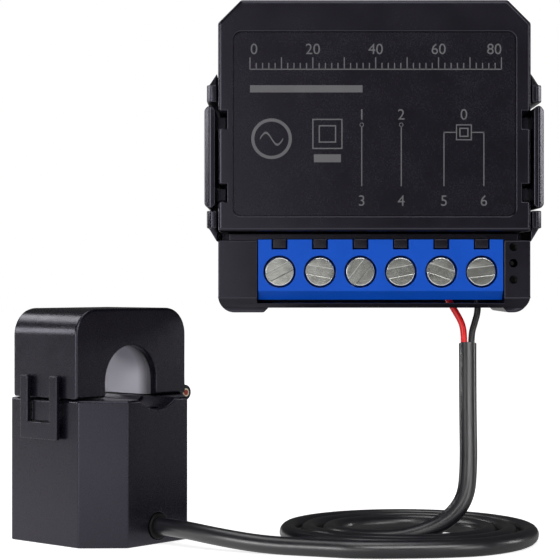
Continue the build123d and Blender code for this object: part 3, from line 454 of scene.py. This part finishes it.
@dataclass(frozen=True)
class CanSleeve(Recipe):
    """A capacitor's printed sleeve, with its bare end."""

    sleeve: Colour = (0.012, 0.016, 0.05)
    metal: Colour = (0.55, 0.56, 0.58)
    end_depth: float = 15.0 * MM
    fleck: float = 0.5 * MM
    fleck_depth: float = 0.01 * MM

    def paint(self, graph: Graph) -> None:
        """Fills the material's node tree."""
        spot = graph.place()
        bare = (graph.part(spot, 1) * -1.0).above(self.end_depth)
        fleck = graph.noise(spot, self.fleck)
        graph.surface(
            Base_Color=graph.blend(bare, self.sleeve, self.metal),
            Metallic=bare,
            Roughness=fleck.spread(0.26, 0.4),
            Normal=graph.bump(fleck, self.fleck_depth),
        )


@dataclass(frozen=True)
class ClearGlass(Recipe):
    """A fuse's thin glass, with its end caps."""

    cap: Colour = (0.62, 0.6, 0.56)
    glass: Colour = (0.8, 0.84, 0.82)
    middle: float = -3.4 * MM
    cap_start: float = 2.0 * MM
    clearness: float = 0.35
    dust: float = 0.4 * MM

    def paint(self, graph: Graph) -> None:
        """Fills the material's node tree."""
        spot = graph.place()
        off = graph.part(spot, 2) - self.middle
        caps = (off * off).above(self.cap_start**2)
        graph.surface(
            Base_Color=graph.blend(caps, self.glass, self.cap),
            Metallic=caps,
            Alpha=caps.remap(0.0, 1.0, self.clearness, 1.0),
            Roughness=graph.noise(spot, self.dust).spread(0.08, 0.2),
        )


class Finish(Enum):
    """The finishes of this object's pieces."""

    CASE = Moulding("case_black", (0.0055, 0.005, 0.0075), 0.23, 0.42, tint=COOL)
    LABEL = Moulding("label_black", (0.005, 0.0045, 0.007), 0.25, 0.38, grain=0.2 * MM, tint=COOL)
    PRINT = Moulding("label_print", (0.115, 0.112, 0.12), 0.55, 0.3, variation=0.05)
    CLAMP = Moulding("clamp_black", (0.0035, 0.0031, 0.0058), 0.27, 0.46, tint=COOL)
    LINER = BoreLining("liner_grey", (0.8, 0.78, 0.88))
    TERMINAL = Moulding("terminal_blue", (0.002, 0.08, 0.54), 0.36, 0.2, variation=0.04)
    SCREW = PlatedSteel("screw_zinc", (0.5, 0.505, 0.47), 0.2, depth=0.0015 * MM)
    CAGE = PlatedSteel("cage_zinc", (0.5, 0.5, 0.47), 0.4)
    CONTACT = PlatedSteel("contact_tin", (0.62, 0.56, 0.42), 0.35)
    SHIELD = PlatedSteel("shield_tin", (0.62, 0.62, 0.6), 0.3, 0.08 * MM, (8, 1, 1))
    SPRING = PlatedSteel("spring_steel", (0.5, 0.5, 0.5), 0.28)
    PIN = PlatedSteel("pin_copper", (0.42, 0.05, 0.03), 0.35)
    BOARD = SolderMask("board_lacquer")
    FERRITE = Moulding("ferrite", (0.035, 0.034, 0.036), 0.62, 0.4, 0.2 * MM, 0.02 * MM)
    POWER_WINDING = Wound("power_winding", (0.5, 0.2, 0.05), 0.25 * MM, (0, 1, 0), 90)
    CLAMP_WINDING = Wound(
        "clamp_winding", (0.55, 0.2, 0.05), 0.16 * MM, (1, 0, 0), -CLAMP_TURN
    )
    BOBBIN = Moulding("bobbin_cream", (0.6, 0.55, 0.4), 0.45)
    CAN = CanSleeve("capacitor_sleeve")
    FUSE = ClearGlass("fuse_glass")
    VARISTOR = Moulding("varistor_blue", (0.02, 0.09, 0.33), 0.35, 0.5, 0.5 * MM, 0.03 * MM)
    CHIP = Moulding("chip_black", (0.018, 0.018, 0.019), 0.55, 0.4, 0.1 * MM, 0.01 * MM)
    BUTTON = Moulding("button_black", (0.012, 0.012, 0.013), 0.45)
    LAMP = Moulding("lamp_resin", (0.7, 0.62, 0.3), 0.3)
    # Painted shade: the light guides are near black to stand for the shade inside the holes they
    # sit in.
    GUIDE = Moulding("guide_painted_shade", (0.003, 0.003, 0.0035), 0.12, 0.3)
    RING = Moulding("ring_cream", (0.78, 0.7, 0.52), 0.4)
    CORD = Jacket("cord_black", (0.006, 0.0055, 0.0085), 0.32, 1.0)
    GROMMET = Moulding("grommet_black", (0.003, 0.003, 0.0035), 0.5, 0.15)
    RED = Jacket("core_red", (1.0, 0.006, 0.01), 0.32)
    BLACK = Jacket("core_black", (0.014, 0.014, 0.016), 0.3)
    STRANDS = PlatedSteel("bare_strands", (0.72, 0.42, 0.26), 0.3, 0.04 * MM, (8, 8, 1))

    def coat(self, *pieces: bpy.types.Object) -> None:
        """Puts this finish, and nothing else, on some pieces.

        Args:
            pieces: the pieces, CAD nodes or new ones.
        """
        made = bpy.data.materials.get(self.value.name) or self.value.material()
        for piece in pieces:
            if not piece.material_slots:
                piece.data.materials.append(made)
            for slot in piece.material_slots:
                slot.link = "OBJECT"
                slot.material = made


def body_of(node: str) -> str:
    """The CAD body that a node is in."""
    return next(b for b, nodes in frame["record"]["behaviour"]["bodies"].items() if node in nodes)


def piece_from(shape: bmesh.types.BMesh, name: str, body: str) -> bpy.types.Object:
    """Makes an object of a finished shape.

    Args:
        shape: the shape, in the row frame; it is freed.
        name: the object's name.
        body: the CAD body it rides on.

    Returns:
        The object.
    """
    mesh = bpy.data.meshes.new(name)
    shape.to_mesh(mesh)
    shape.free()
    made = bpy.data.objects.new(name, mesh)
    bpy.context.collection.objects.link(made)
    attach(made, body)
    log.info("piece %s with %d faces rides on %s", name, len(mesh.polygons), body)
    return made


def smooth(piece: bpy.types.Object, crease: float = 50.0) -> None:
    """Shades a piece smooth, so that a large face keeps its own normal up to its rounded edges.

    Args:
        piece: the piece.
        crease: the angle in degrees between two faces above which they don't blend.
    """
    mesh = piece.data
    mesh.shade_smooth()
    limit = math.cos(math.radians(crease))
    around: dict[int, list[bpy.types.MeshPolygon]] = {}
    for face in mesh.polygons:
        for vertex in face.vertices:
            around.setdefault(vertex, []).append(face)
    normals = []
    for face in mesh.polygons:
        for vertex in face.vertices:
            near = [other for other in around[vertex] if other.normal.dot(face.normal) > limit]
            blended = sum((other.normal * other.area for other in near), Vector())
            normals.append(blended.normalized())
    mesh.normals_split_custom_set(normals)


def softened(
    node: str,
    finish: Finish,
    width: float,
    segments: int = 2,
    crease: float = 30.0,
    shortest: float = 0.0,
) -> bpy.types.Object:
    """A CAD node with its sharp edges rounded as a mould or a punch leaves them.

    Args:
        node: the CAD node, which the new piece stands for.
        finish: what it is made of.
        width: how wide the rounding is, in metres.
        segments: the steps across the rounding.
        crease: the angle in degrees above which an edge counts as sharp.
        shortest: the length in metres below which an edge is left sharp.

    Returns:
        The new piece.
    """
    shape = bmesh.new()
    shape.from_mesh(frame["nodes"][node].data)
    bmesh.ops.remove_doubles(shape, verts=shape.verts, dist=WELD)
    bmesh.ops.dissolve_limit(
        shape,
        angle_limit=math.radians(FLAT_ANGLE),
        verts=shape.verts,
        edges=shape.edges,
        use_dissolve_boundaries=False,
    )
    limit = math.radians(crease)
    sharp = [
        edge
        for edge in shape.edges
        if edge.is_manifold
        and edge.is_convex
        and edge.calc_face_angle() > limit
        and edge.calc_length() >= shortest
    ]
    bmesh.ops.bevel(
        shape,
        geom=sharp,
        offset=width,
        offset_type="OFFSET",
        segments=segments,
        profile=0.5,
        affect="EDGES",
        clamp_overlap=False,
        material=-1,
    )
    low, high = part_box(node)
    for vert in shape.verts:
        vert.co = [min(max(at, start), stop) for at, start, stop in zip(vert.co, low, high)]
    piece = piece_from(shape, f"{node}_visual", body_of(node))
    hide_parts(node)
    smooth(piece)
    finish.coat(piece)
    return piece


def coat_nodes(finishes: dict[str, Finish]) -> None:
    """Coats CAD nodes that stay as they are.

    Args:
        finishes: the finish of each node.
    """
    for node, finish in finishes.items():
        finish.coat(frame["nodes"][node])
    log.info("coated %d CAD nodes", len(finishes))


@dataclass
class CaseShell:
    """The case: rear housing, front cover, side clips and the label."""

    edge: float = 0.16 * MM
    shortest_edge: float = 0.25 * MM
    clip_edge: float = 0.2 * MM
    clip_steps: int = 3
    label_edge: float = 0.04 * MM

    def build(self) -> None:
        """Rounds the shell's edges and coats its pieces."""
        softened("rear_housing", Finish.CASE, self.edge, shortest=self.shortest_edge)
        softened("front_cover", Finish.CASE, self.edge)
        for side in ("left", "right"):
            softened(f"side_clip_{side}", Finish.CASE, self.clip_edge, self.clip_steps)
        softened("front_label", Finish.LABEL, self.label_edge, 1)


@dataclass
class LabelPrint:
    """Plain grey marks on the label: a tick scale, wiring lines, two symbols and numbers.

    Lengths are in metres on the label's face, X to the right and Z up. A bar is given by its
    left, right, lower and upper sides.
    """

    stroke: float = 0.14 * MM
    proud: float = 0.006 * MM
    numeral: float = 1.9 * MM
    scale_left: float = -15.6 * MM
    scale_right: float = 15.9 * MM
    scale_height: float = 10.9 * MM
    scale_steps: int = 40
    step_value: int = 2
    steps_to_long: int = 5
    steps_to_number: int = 10
    short_tick: float = 0.8 * MM
    long_tick: float = 1.5 * MM
    scale_number_rise: float = 1.9 * MM
    first_shift: float = 0.5 * MM
    last_shift: float = -0.9 * MM
    scale_bar: Sequence[float] = (-15.6 * MM, -1.5 * MM, 8.0 * MM, 8.9 * MM)
    leads: Sequence[float] = (-1.6 * MM, 3.35 * MM)
    loop: Sequence[float] = (8.7 * MM, 13.7 * MM)
    line_top: float = 3.75 * MM
    line_foot: float = -3.75 * MM
    number_foot: float = -6.2 * MM
    number_head: float = 4.6 * MM
    eyelet_rise: float = 0.2 * MM
    eyelet_radius: float = 0.27 * MM
    eyelet_stroke: float = 0.09 * MM
    loop_drop: float = 0.75 * MM
    sensor_half: float = 1.0 * MM
    sensor_inner: float = 0.82 * MM / math.sqrt(2)
    symbol_height: float = 2.2 * MM
    ring_x: float = -12.9 * MM
    ring_radius: float = 2.55 * MM
    ring_stroke: float = 0.4 * MM
    wave_width: float = 2.9 * MM
    wave_height: float = 0.75 * MM
    square_x: float = -5.9 * MM
    square_rise: float = 0.6 * MM
    square_halves: Sequence[float] = (1.9 * MM, 1.1 * MM)
    square_stroke: float = 0.16 * MM
    square_bar: Sequence[float] = (-7.6 * MM, -4.2 * MM, -0.75 * MM, 0.25 * MM)
    face: float = 0.0
    shape: bmesh.types.BMesh = field(init=False)

    def build(self) -> None:
        """Draws all the marks as one thin piece."""
        self.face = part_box("front_label")[0].y - self.proud
        self.shape = bmesh.new()
        self._scale()
        self._wiring()
        self._symbols()
        bmesh.ops.recalc_face_normals(self.shape, faces=self.shape.faces)
        backward = [face for face in self.shape.faces if face.normal.y > 0]
        bmesh.ops.reverse_faces(self.shape, faces=backward)
        marks = piece_from(self.shape, "label_marks", "case")
        Finish.PRINT.coat(marks)

    def _standing(self, x: float, z: float) -> Matrix:
        """Carries a flat shape from the ground to an upright place on the label."""
        place = Matrix.Translation((x, self.face, z))
        return place @ Matrix.Rotation(math.radians(90), 4, "X")

    def _bar(self, left: float, right: float, low: float, high: float) -> None:
        """A filled rectangle.

        Args:
            left: its left side.
            right: its right side.
            low: its lower side.
            high: its upper side.
        """
        size = Matrix.Diagonal((right - left, high - low, 1, 1))
        place = self._standing((left + right) / 2, (low + high) / 2) @ size
        bmesh.ops.create_grid(self.shape, x_segments=1, y_segments=1, size=0.5, matrix=place)

    def _upright(self, x: float, low: float, high: float) -> None:
        """An upright line."""
        self._bar(x - self.stroke / 2, x + self.stroke / 2, low, high)

    def _level(self, z: float, left: float, right: float) -> None:
        """A level line."""
        self._bar(left, right, z - self.stroke / 2, z + self.stroke / 2)

    def _ring(self, x: float, z: float, radius: float, stroke: float, sides: int = 48) -> None:
        """A ring, or with four sides an upright square.

        Args:
            x: its middle.
            z: the height of its middle.
            radius: its outer radius.
            stroke: how thick its line is.
            sides: how many straight sides it has.
        """
        turn = math.pi / sides if sides == SQUARE_SIDES else 0.0
        place = self._standing(x, z) @ Matrix.Rotation(turn, 4, "Z")
        inner = radius - stroke / math.cos(math.pi / sides)
        rims = []
        for reach in (radius, inner):
            made = bmesh.ops.create_circle(self.shape, segments=sides, radius=reach, matrix=place)
            rims += list({edge for vert in made["verts"] for edge in vert.link_edges})
        bmesh.ops.bridge_loops(self.shape, edges=rims)

    def _square(self, x: float, z: float, half: float, stroke: float) -> None:
        """An upright square by half its width."""
        self._ring(x, z, half * math.sqrt(2), stroke, SQUARE_SIDES)

    def _wave(self, x: float, z: float, width: float, height: float, steps: int = 24) -> None:
        """One cycle of a sine line.

        Args:
            x: its middle.
            z: the height of its middle.
            width: its length.
            height: how far it swings to each side.
            steps: how many straight steps it has.
        """
        first = [
            self.shape.verts.new((x - width / 2, self.face, z + side * self.stroke))
            for side in (-1, 1)
        ]
        edge = self.shape.edges.new(first)
        for step in range(1, steps + 1):
            share = step / steps
            made = bmesh.ops.extrude_edge_only(self.shape, edges=[edge])["geom"]
            ends = [item for item in made if isinstance(item, bmesh.types.BMVert)]
            edge = next(item for item in made if isinstance(item, bmesh.types.BMEdge))
            middle = z + height * math.sin(2 * math.pi * share)
            low, high = sorted(ends, key=lambda vert: vert.co.z)
            low.co = (x - width / 2 + width * share, self.face, middle - self.stroke)
            high.co = (x - width / 2 + width * share, self.face, middle + self.stroke)

    def _number(self, value: int, x: float, foot: float) -> None:
        """A plain number, centred on a place.

        Args:
            value: the number.
            x: its middle.
            foot: the height that it stands on.
        """
        curve = bpy.data.curves.new("number", "FONT")
        curve.body = str(value)
        curve.size = self.numeral
        curve.align_x = "CENTER"
        holder = bpy.data.objects.new("number", curve)
        bpy.context.collection.objects.link(holder)
        bpy.context.view_layer.update()
        mesh = bpy.data.meshes.new_from_object(
            holder.evaluated_get(bpy.context.evaluated_depsgraph_get())
        )
        mesh.transform(self._standing(x, foot))
        self.shape.from_mesh(mesh)
        bpy.data.objects.remove(holder)
        bpy.data.meshes.remove(mesh)

    def _scale(self) -> None:
        """A scale of ticks with a number at every tenth, and a bar below it."""
        self._level(self.scale_height, self.scale_left, self.scale_right)
        step = (self.scale_right - self.scale_left) / self.scale_steps
        shifts = {0: self.first_shift, self.scale_steps: self.last_shift}
        for tick in range(self.scale_steps + 1):
            x = self.scale_left + tick * step
            rise = self.short_tick if tick % self.steps_to_long else self.long_tick
            self._upright(x, self.scale_height, self.scale_height + rise)
            if tick % self.steps_to_number == 0:
                foot = self.scale_height + self.scale_number_rise
                self._number(tick * self.step_value, x + shifts.get(tick, 0.0), foot)
        self._bar(*self.scale_bar)

    def _wiring(self) -> None:
        """Two plain leads, and a loop through a small sensor, to the last four terminals."""
        for x in self.leads:
            self._upright(x, self.line_foot, self.line_top)
            self._ring(x, self.line_top + self.eyelet_rise, self.eyelet_radius, self.eyelet_stroke)
        sensor_x = sum(self.loop) / 2
        sensor_z = self.line_top - self.loop_drop
        for x in self.loop:
            self._upright(x, self.line_foot, sensor_z)
        self._square(sensor_x, sensor_z, self.sensor_half, self.stroke)
        self._square(sensor_x, sensor_z, self.sensor_inner, self.square_stroke)
        left, right = self.loop
        self._level(sensor_z, left - self.stroke / 2, sensor_x - self.sensor_half)
        self._level(sensor_z, sensor_x + self.sensor_half, right + self.stroke / 2)
        for number, x in enumerate((*self.leads, *self.loop), start=3):
            self._number(number, x, self.number_foot)
        for number, x in ((1, self.leads[0]), (2, self.leads[1]), (0, sensor_x)):
            self._number(number, x, self.number_head)

    def _symbols(self) -> None:
        """A wave in a ring, and two squares one in the other over a bar."""
        self._ring(self.ring_x, self.symbol_height, self.ring_radius, self.ring_stroke)
        self._wave(self.ring_x, self.symbol_height, self.wave_width, self.wave_height)
        for half in self.square_halves:
            height = self.symbol_height + self.square_rise
            self._square(self.square_x, height, half, self.square_stroke)
        self._bar(*self.square_bar)


@dataclass
class TerminalRow:
    """The blue terminal block with its screws, cages and contacts."""

    block_edge: float = 0.09 * MM
    screw_edge: float = 0.1 * MM
    poles: int = 6

    def build(self) -> None:
        """Rounds the edges and coats the pieces."""
        softened("terminal_block", Finish.TERMINAL, self.block_edge)
        for pole in range(1, self.poles + 1):
            softened(f"terminal_screw_{pole}", Finish.SCREW, self.screw_edge)
            coat_nodes({f"clamp_cage_{pole}": Finish.CAGE})
        coat_nodes({"terminal_contacts": Finish.CONTACT})


@dataclass
class Electronics:
    """The circuit board and what is soldered to it, inside the case."""

    def build(self) -> None:
        """Coats the CAD nodes inside the case."""
        coat_nodes(
            {
                "circuit_board": Finish.BOARD,
                "radio_board": Finish.BOARD,
                "transformer_core": Finish.FERRITE,
                "transformer_winding": Finish.POWER_WINDING,
                "bulk_capacitors": Finish.CAN,
                "radio_shield": Finish.SHIELD,
                "input_fuse": Finish.FUSE,
                "surge_varistor": Finish.VARISTOR,
                "filter_choke": Finish.FERRITE,
                "bridge_rectifier": Finish.CHIP,
                "metering_chip": Finish.CHIP,
                "reset_switch": Finish.CHIP,
                "reset_plunger": Finish.BUTTON,
                "status_lamps": Finish.LAMP,
                "light_guides": Finish.GUIDE,
            }
        )


@dataclass
class CurrentClamp:
    """The split clamp: body, jaw, latch, hinge, liners, cores and winding."""

    edge: float = 0.18 * MM
    latch_edge: float = 0.13 * MM
    lining_edge: float = 0.05 * MM
    trough_edge: float = 0.04 * MM

    def build(self) -> None:
        """Rounds the outer pieces' edges and coats the inner ones."""
        softened("clamp_body", Finish.CLAMP, self.edge)
        softened("clamp_jaw", Finish.CLAMP, self.edge)
        softened("jaw_latch", Finish.CLAMP, self.latch_edge)
        softened("jaw_liner", Finish.LINER, self.lining_edge)
        softened("trough_liner", Finish.CLAMP, self.trough_edge)
        softened("cord_grommet", Finish.GROMMET, self.lining_edge)
        coat_nodes(
            {
                "clamp_floor": Finish.CLAMP,
                "hinge_pin": Finish.PIN,
                "hinge_rings": Finish.RING,
                "lower_core": Finish.FERRITE,
                "upper_core": Finish.FERRITE,
                "core_spring": Finish.SPRING,
                "winding_bobbin": Finish.BOBBIN,
                "secondary_winding": Finish.CLAMP_WINDING,
                "clamp_board": Finish.BOARD,
            }
        )


@dataclass(frozen=True)
class Core:
    """One of the cord's two cores: its bends up to its terminal, in millimetres."""

    colour: str
    side: int
    finish: Finish
    bends: Sequence[Sequence[float]]


@dataclass
class SignalCord:
    """The clamp's cord: a lead, a flat coil, and a riser that ends in two cores.

    The route's points are those of the CAD model. Those of the lead and the riser are in
    millimetres, with their height above the floor.
    """

    radius: float = 1.125 * MM
    core_radius: float = 0.42 * MM
    floor: float = -49.3 * MM
    clamp_place: tuple[float, float] = (-35.82 * MM, -5.49 * MM)
    mouth_set: float = 11.3 * MM
    mouth_height: float = 2.3 * MM
    first_run: float = 3.9 * MM
    lead_points: Sequence[Sequence[float]] = (
        (-19.6, -18.7, 1.75),
        (-13.6, -21.3, 1.125),
        (-6.8, -23.5, 1.125),
        (-1.9, -25.3, 1.125),
    )
    coil_centre: tuple[float, float] = (4.17 * MM, -9.7 * MM)
    coil_half_width: float = 16.95 * MM
    coil_half_depth: float = 15.6 * MM
    coil_pitch: float = 2.68 * MM
    coil_turns: float = 2.5
    points_per_turn: int = 16
    riser_points: Sequence[Sequence[float]] = (
        (-2.3, -3.2, 1.125),
        (-4.25, -5.5, 1.125),
        (-5.3, -8.1, 1.125),
        (-5.3, -10.9, 1.125),
        (-3.95, -13.6, 1.125),
        (-0.9, -15.8, 1.125),
        (3.6, -17.0, 1.3),
        (8.6, -17.1, 3.0),
        (11.45, -16.6, 5.9),
        (12.05, -15.6, 9.8),
        (12.15, -13.3, 17.4),
        (12.35, -11.3, 25.6),
    )
    core_offset: float = 0.46 * MM
    core_within: float = 1.0 * MM
    core_straight: float = 1.2 * MM
    cores: Sequence[Core] = (
        Core(
            "red",
            -1,
            Finish.RED,
            ((11.65, -10.9, -21.0), (10.6, -10.6, -19.2), (9.32, -10.45, -16.9)),
        ),
        Core(
            "black",
            1,
            Finish.BLACK,
            ((13.25, -10.85, -21.2), (13.85, -10.6, -19.2), (13.6, -10.45, -16.9)),
        ),
    )
    ring_steps: int = 8
    run_steps: int = 10

    def build(self) -> None:
        """Lays the cord and its two cores."""
        lead = [*self._mouth(), *self._laid(self.lead_points)]
        riser = self._laid(self.riser_points)
        route = [*lead, *self._coil(), *riser]
        cord = self._wire("signal_cord", route, self.radius, Finish.CORD, "cord_jacket")
        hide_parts("cord_lead", "cord_coil", "cord_riser")
        way = (riser[-1] - riser[-2]).normalized()
        red, black = (self._core(core, riser[-1], way) for core in self.cores)
        Finish.STRANDS.coat(frame["nodes"]["core_ends"])

    def _laid(self, points: Sequence[Sequence[float]]) -> list[Vector]:
        """Places in metres of points given in millimetres, with their height above the floor."""
        return [Vector((x * MM, y * MM, self.floor + rise * MM)) for x, y, rise in points]

    def _mouth(self) -> list[Vector]:
        """The cord's first two points, straight out of the clamp's grommet."""
        turn = math.radians(CLAMP_TURN)
        out = Vector((math.sin(turn), -math.cos(turn), 0))
        mouth = Vector((*self.clamp_place, self.floor + self.mouth_height)) + out * self.mouth_set
        return [mouth, mouth + out * self.first_run]

    def _coil(self) -> Iterable[Vector]:
        """The coil's turns, from its front inwards, counter-clockwise seen from above."""
        spread = 1 / math.cos(math.pi / self.points_per_turn)
        for n in range(1, int(self.coil_turns * self.points_per_turn) + 1):
            angle = 2 * math.pi * n / self.points_per_turn
            shrink = self.coil_pitch * n / self.points_per_turn
            across = (self.coil_half_width - shrink) * spread
            deep = (self.coil_half_depth - shrink) * spread
            yield Vector(
                (
                    self.coil_centre[0] + across * math.sin(angle),
                    self.coil_centre[1] - deep * math.cos(angle),
                    self.floor + self.radius,
                )
            )

    def _core(self, core: Core, end: Vector, way: Vector) -> bpy.types.Object:
        """One of the two cores, from inside the jacket's end to its terminal.

        Args:
            core: the core.
            end: the end of the jacket.
            way: how the jacket runs there.

        Returns:
            The core's wire.
        """
        start = end + Vector((core.side * self.core_offset, 0, 0))
        bends = [Vector(bend) * MM for bend in core.bends]
        route = [start - way * self.core_within, start + way * self.core_straight, *bends]
        name, slot = f"core_{core.colour}_wire", f"wire_{core.colour}"
        wire = self._wire(name, route, self.core_radius, core.finish, slot)
        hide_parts(f"core_{core.colour}")
        return wire

    def _wire(
        self, name: str, route: Sequence[Vector], radius: float, finish: Finish, slot: str
    ) -> bpy.types.Object:
        """A round wire on one smooth line with these control points.

        Args:
            name: the object's name.
            route: the control points.
            radius: the wire's radius.
            finish: its covering.
            slot: the record's material slot; not used.

        Returns:
            The wire.
        """
        curve = bpy.data.curves.new(name, "CURVE")
        curve.dimensions = "3D"
        curve.bevel_depth = 1.0
        curve.bevel_resolution = self.ring_steps
        curve.resolution_u = self.run_steps
        curve.use_fill_caps = True
        spline = curve.splines.new("NURBS")
        spline.points.add(len(route) - 1)
        for point, place in zip(spline.points, route):
            point.co = (*place, 1.0)
            point.radius = radius
        spline.order_u = 3
        spline.use_endpoint_u = True
        made = bpy.data.objects.new(name, curve)
        bpy.context.collection.objects.link(made)
        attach(made, "case")
        finish.coat(made)
        log.info("wire %s on %d points", name, len(route))
        return made


@dataclass(frozen=True)
class Softbox:
    """A soft lamp that looks at the object."""

    name: str
    place: tuple[float, float, float]
    width: float
    height: float
    power: float
    aim: tuple[float, float, float] = (-0.01, -0.01, -0.02)

    def build(self) -> None:
        """Hangs the lamp."""
        light = bpy.data.lights.new(self.name, "AREA")
        light.shape = "RECTANGLE"
        light.size = self.width
        light.size_y = self.height
        light.energy = self.power
        lamp = bpy.data.objects.new(self.name, light)
        lamp.location = self.place
        towards = Vector(self.aim) - Vector(self.place)
        lamp.rotation_euler = towards.to_track_quat("-Z", "Y").to_euler()
        bpy.context.collection.objects.link(lamp)


@dataclass
class Studio:
    """Camera, lamps, floor and backdrop.

    The floor is pale to the camera. Gloss on the object mirrors it as mostly dark, with a
    glow to the left and in front, so that plane faces stay dark and edges catch light.
    """

    camera_place: tuple[float, float, float] = (-11.84 * MM, -241.0 * MM, -15.5 * MM)
    focal_pixels: float = 1782.0
    image_pixels: float = 560.0
    sensor: float = 36.0
    nearest: float = 0.01
    furthest: float = 20.0
    floor_height: float = -49.3 * MM
    floor_half: float = 1.6
    floor_roughness: float = 0.9
    floor_pale: Colour = (0.8, 0.8, 0.8)
    floor_dim: Colour = (0.5, 0.5, 0.5)
    near_glow: Colour = (0.75, 0.75, 0.75)
    glow_start: float = 0.1
    glow_end: float = 0.5
    mirror_glow: Colour = (1.5, 1.5, 1.5)
    mirror_dark: Colour = (0.1, 0.1, 0.1)
    mirror_start: float = 0.12
    mirror_end: float = 0.4
    side_share: float = 0.55
    side_start: float = -30.0 * MM
    side_end: float = 0.0
    ahead_start: float = -75.0 * MM
    ahead_end: float = -50.0 * MM
    mirrored_share: float = 0.06
    ambient: float = 0.05
    lamps: Sequence[Softbox] = (
        Softbox("front_panel", (-0.24, -0.6, -0.02), 0.44, 0.22, 0.55),
        Softbox("front_roof", (0.13, -0.5, 0.3), 0.42, 0.2, 1.35),
        Softbox("left_panel", (-0.9, -0.1, 0.1), 0.8, 0.8, 0.1),
        Softbox("left_strip", (-0.6, 0.02, 0.11), 0.08, 0.12, 0.4),
        Softbox("left_rear", (-0.55, 0.22, -0.01), 0.15, 0.15, 0.55),
        Softbox("left_edge", (-0.42, -0.46, 0.0), 0.25, 0.3, 1.5),
        Softbox("right_edge", (0.4, -0.44, 0.0), 0.2, 0.3, 0.7),
        Softbox("right_strip", (0.5, 0.07, 0.07), 0.06, 0.12, 0.25),
        Softbox("roof_strip", (-0.47, 0.19, 0.39), 0.4, 0.07, 0.65),
        Softbox("top_box", (-0.06, -0.02, 0.4), 0.45, 0.25, 0.8),
    )

    def build(self) -> None:
        """Sets the camera, the lamps, the floor and the world."""
        self._camera()
        self._floor()
        self._world()
        for lamp in self.lamps:
            lamp.build()
        bpy.context.scene.view_settings.view_transform = "Standard"

    def _camera(self) -> None:
        """A level camera in front of the case, with the photograph's field of view."""
        lens = bpy.data.cameras.new("camera")
        lens.sensor_width = self.sensor
        lens.lens = self.focal_pixels / self.image_pixels * self.sensor
        lens.clip_start = self.nearest
        lens.clip_end = self.furthest
        camera = bpy.data.objects.new("camera", lens)
        camera.location = self.camera_place
        camera.rotation_euler = (math.radians(90), 0, 0)
        bpy.context.collection.objects.link(camera)
        bpy.context.scene.camera = camera

    def _floor(self) -> None:
        """A wide pale floor that keeps the object's shadow."""
        shape = bmesh.new()
        place = Matrix.Translation((0, 0, self.floor_height))
        bmesh.ops.create_grid(
            shape, x_segments=1, y_segments=1, size=self.floor_half, matrix=place
        )
        mesh = bpy.data.meshes.new("floor")
        shape.to_mesh(mesh)
        shape.free()
        mesh.materials.append(self._paper())
        floor = bpy.data.objects.new("floor", mesh)
        bpy.context.collection.objects.link(floor)

    def _paper(self) -> bpy.types.Material:
        """The floor's paper, as the camera, gloss and other rays see it."""
        paper = bpy.data.materials.new("floor_paper")
        graph = Graph(paper)
        seen, mirrored = graph.ray("Camera"), graph.ray("Glossy")
        spot = graph.place()
        distance = graph.add("ShaderNodeVectorMath", {"operation": "LENGTH"}, {0: spot}, "Value")
        outward = distance.remap(self.glow_start, self.glow_end, 0.0, 1.0)
        glow = graph.blend(outward, self.near_glow, WHITE)
        across = graph.part(spot, 0).remap(self.side_start, self.side_end, 1.0, 0.0)
        ahead = graph.part(spot, 1).remap(self.ahead_start, self.ahead_end, 1.0, 0.0)
        near = distance.remap(self.mirror_start, self.mirror_end, 1.0, 0.0)
        share = (across * self.side_share).larger(ahead) * near
        sheen = graph.blend(share, self.mirror_dark, self.mirror_glow)
        graph.surface(
            Base_Color=graph.blend(seen, self.floor_dim, self.floor_pale),
            Roughness=self.floor_roughness,
            Specular_IOR_Level=0.0,
            Emission_Color=graph.blend(seen, graph.blend(mirrored, BLACK, sheen), glow),
            Emission_Strength=1.0,
        )
        return paper

    def _world(self) -> None:
        """A white surrounding that lights the object only a little."""
        world = bpy.data.worlds.new("studio")
        bpy.context.scene.world = world
        graph = Graph(world)
        seen = graph.ray("Camera").larger(graph.ray("Transmission"))
        share = seen.larger(graph.ray("Glossy") * self.mirrored_share)
        inputs = {"Color": WHITE, "Strength": share.larger(self.ambient)}
        shader = graph.add("ShaderNodeBackground", {}, inputs)
        graph.add("ShaderNodeOutputWorld", {}, {"Surface": shader})


def main() -> None:
    """Builds the studio and the object's sub-assemblies in order."""
    logging.basicConfig(level=logging.INFO, format="%(name)s: %(message)s")
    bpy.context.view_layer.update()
    assemblies = (
        Studio(),
        SignalCord(),
        CaseShell(),
        LabelPrint(),
        TerminalRow(),
        Electronics(),
        CurrentClamp(),
    )
    for assembly in assemblies:
        log.info("building %s", type(assembly).__name__)
        assembly.build()
    bpy.context.view_layer.update()


if __name__ == "__main__":
    main()
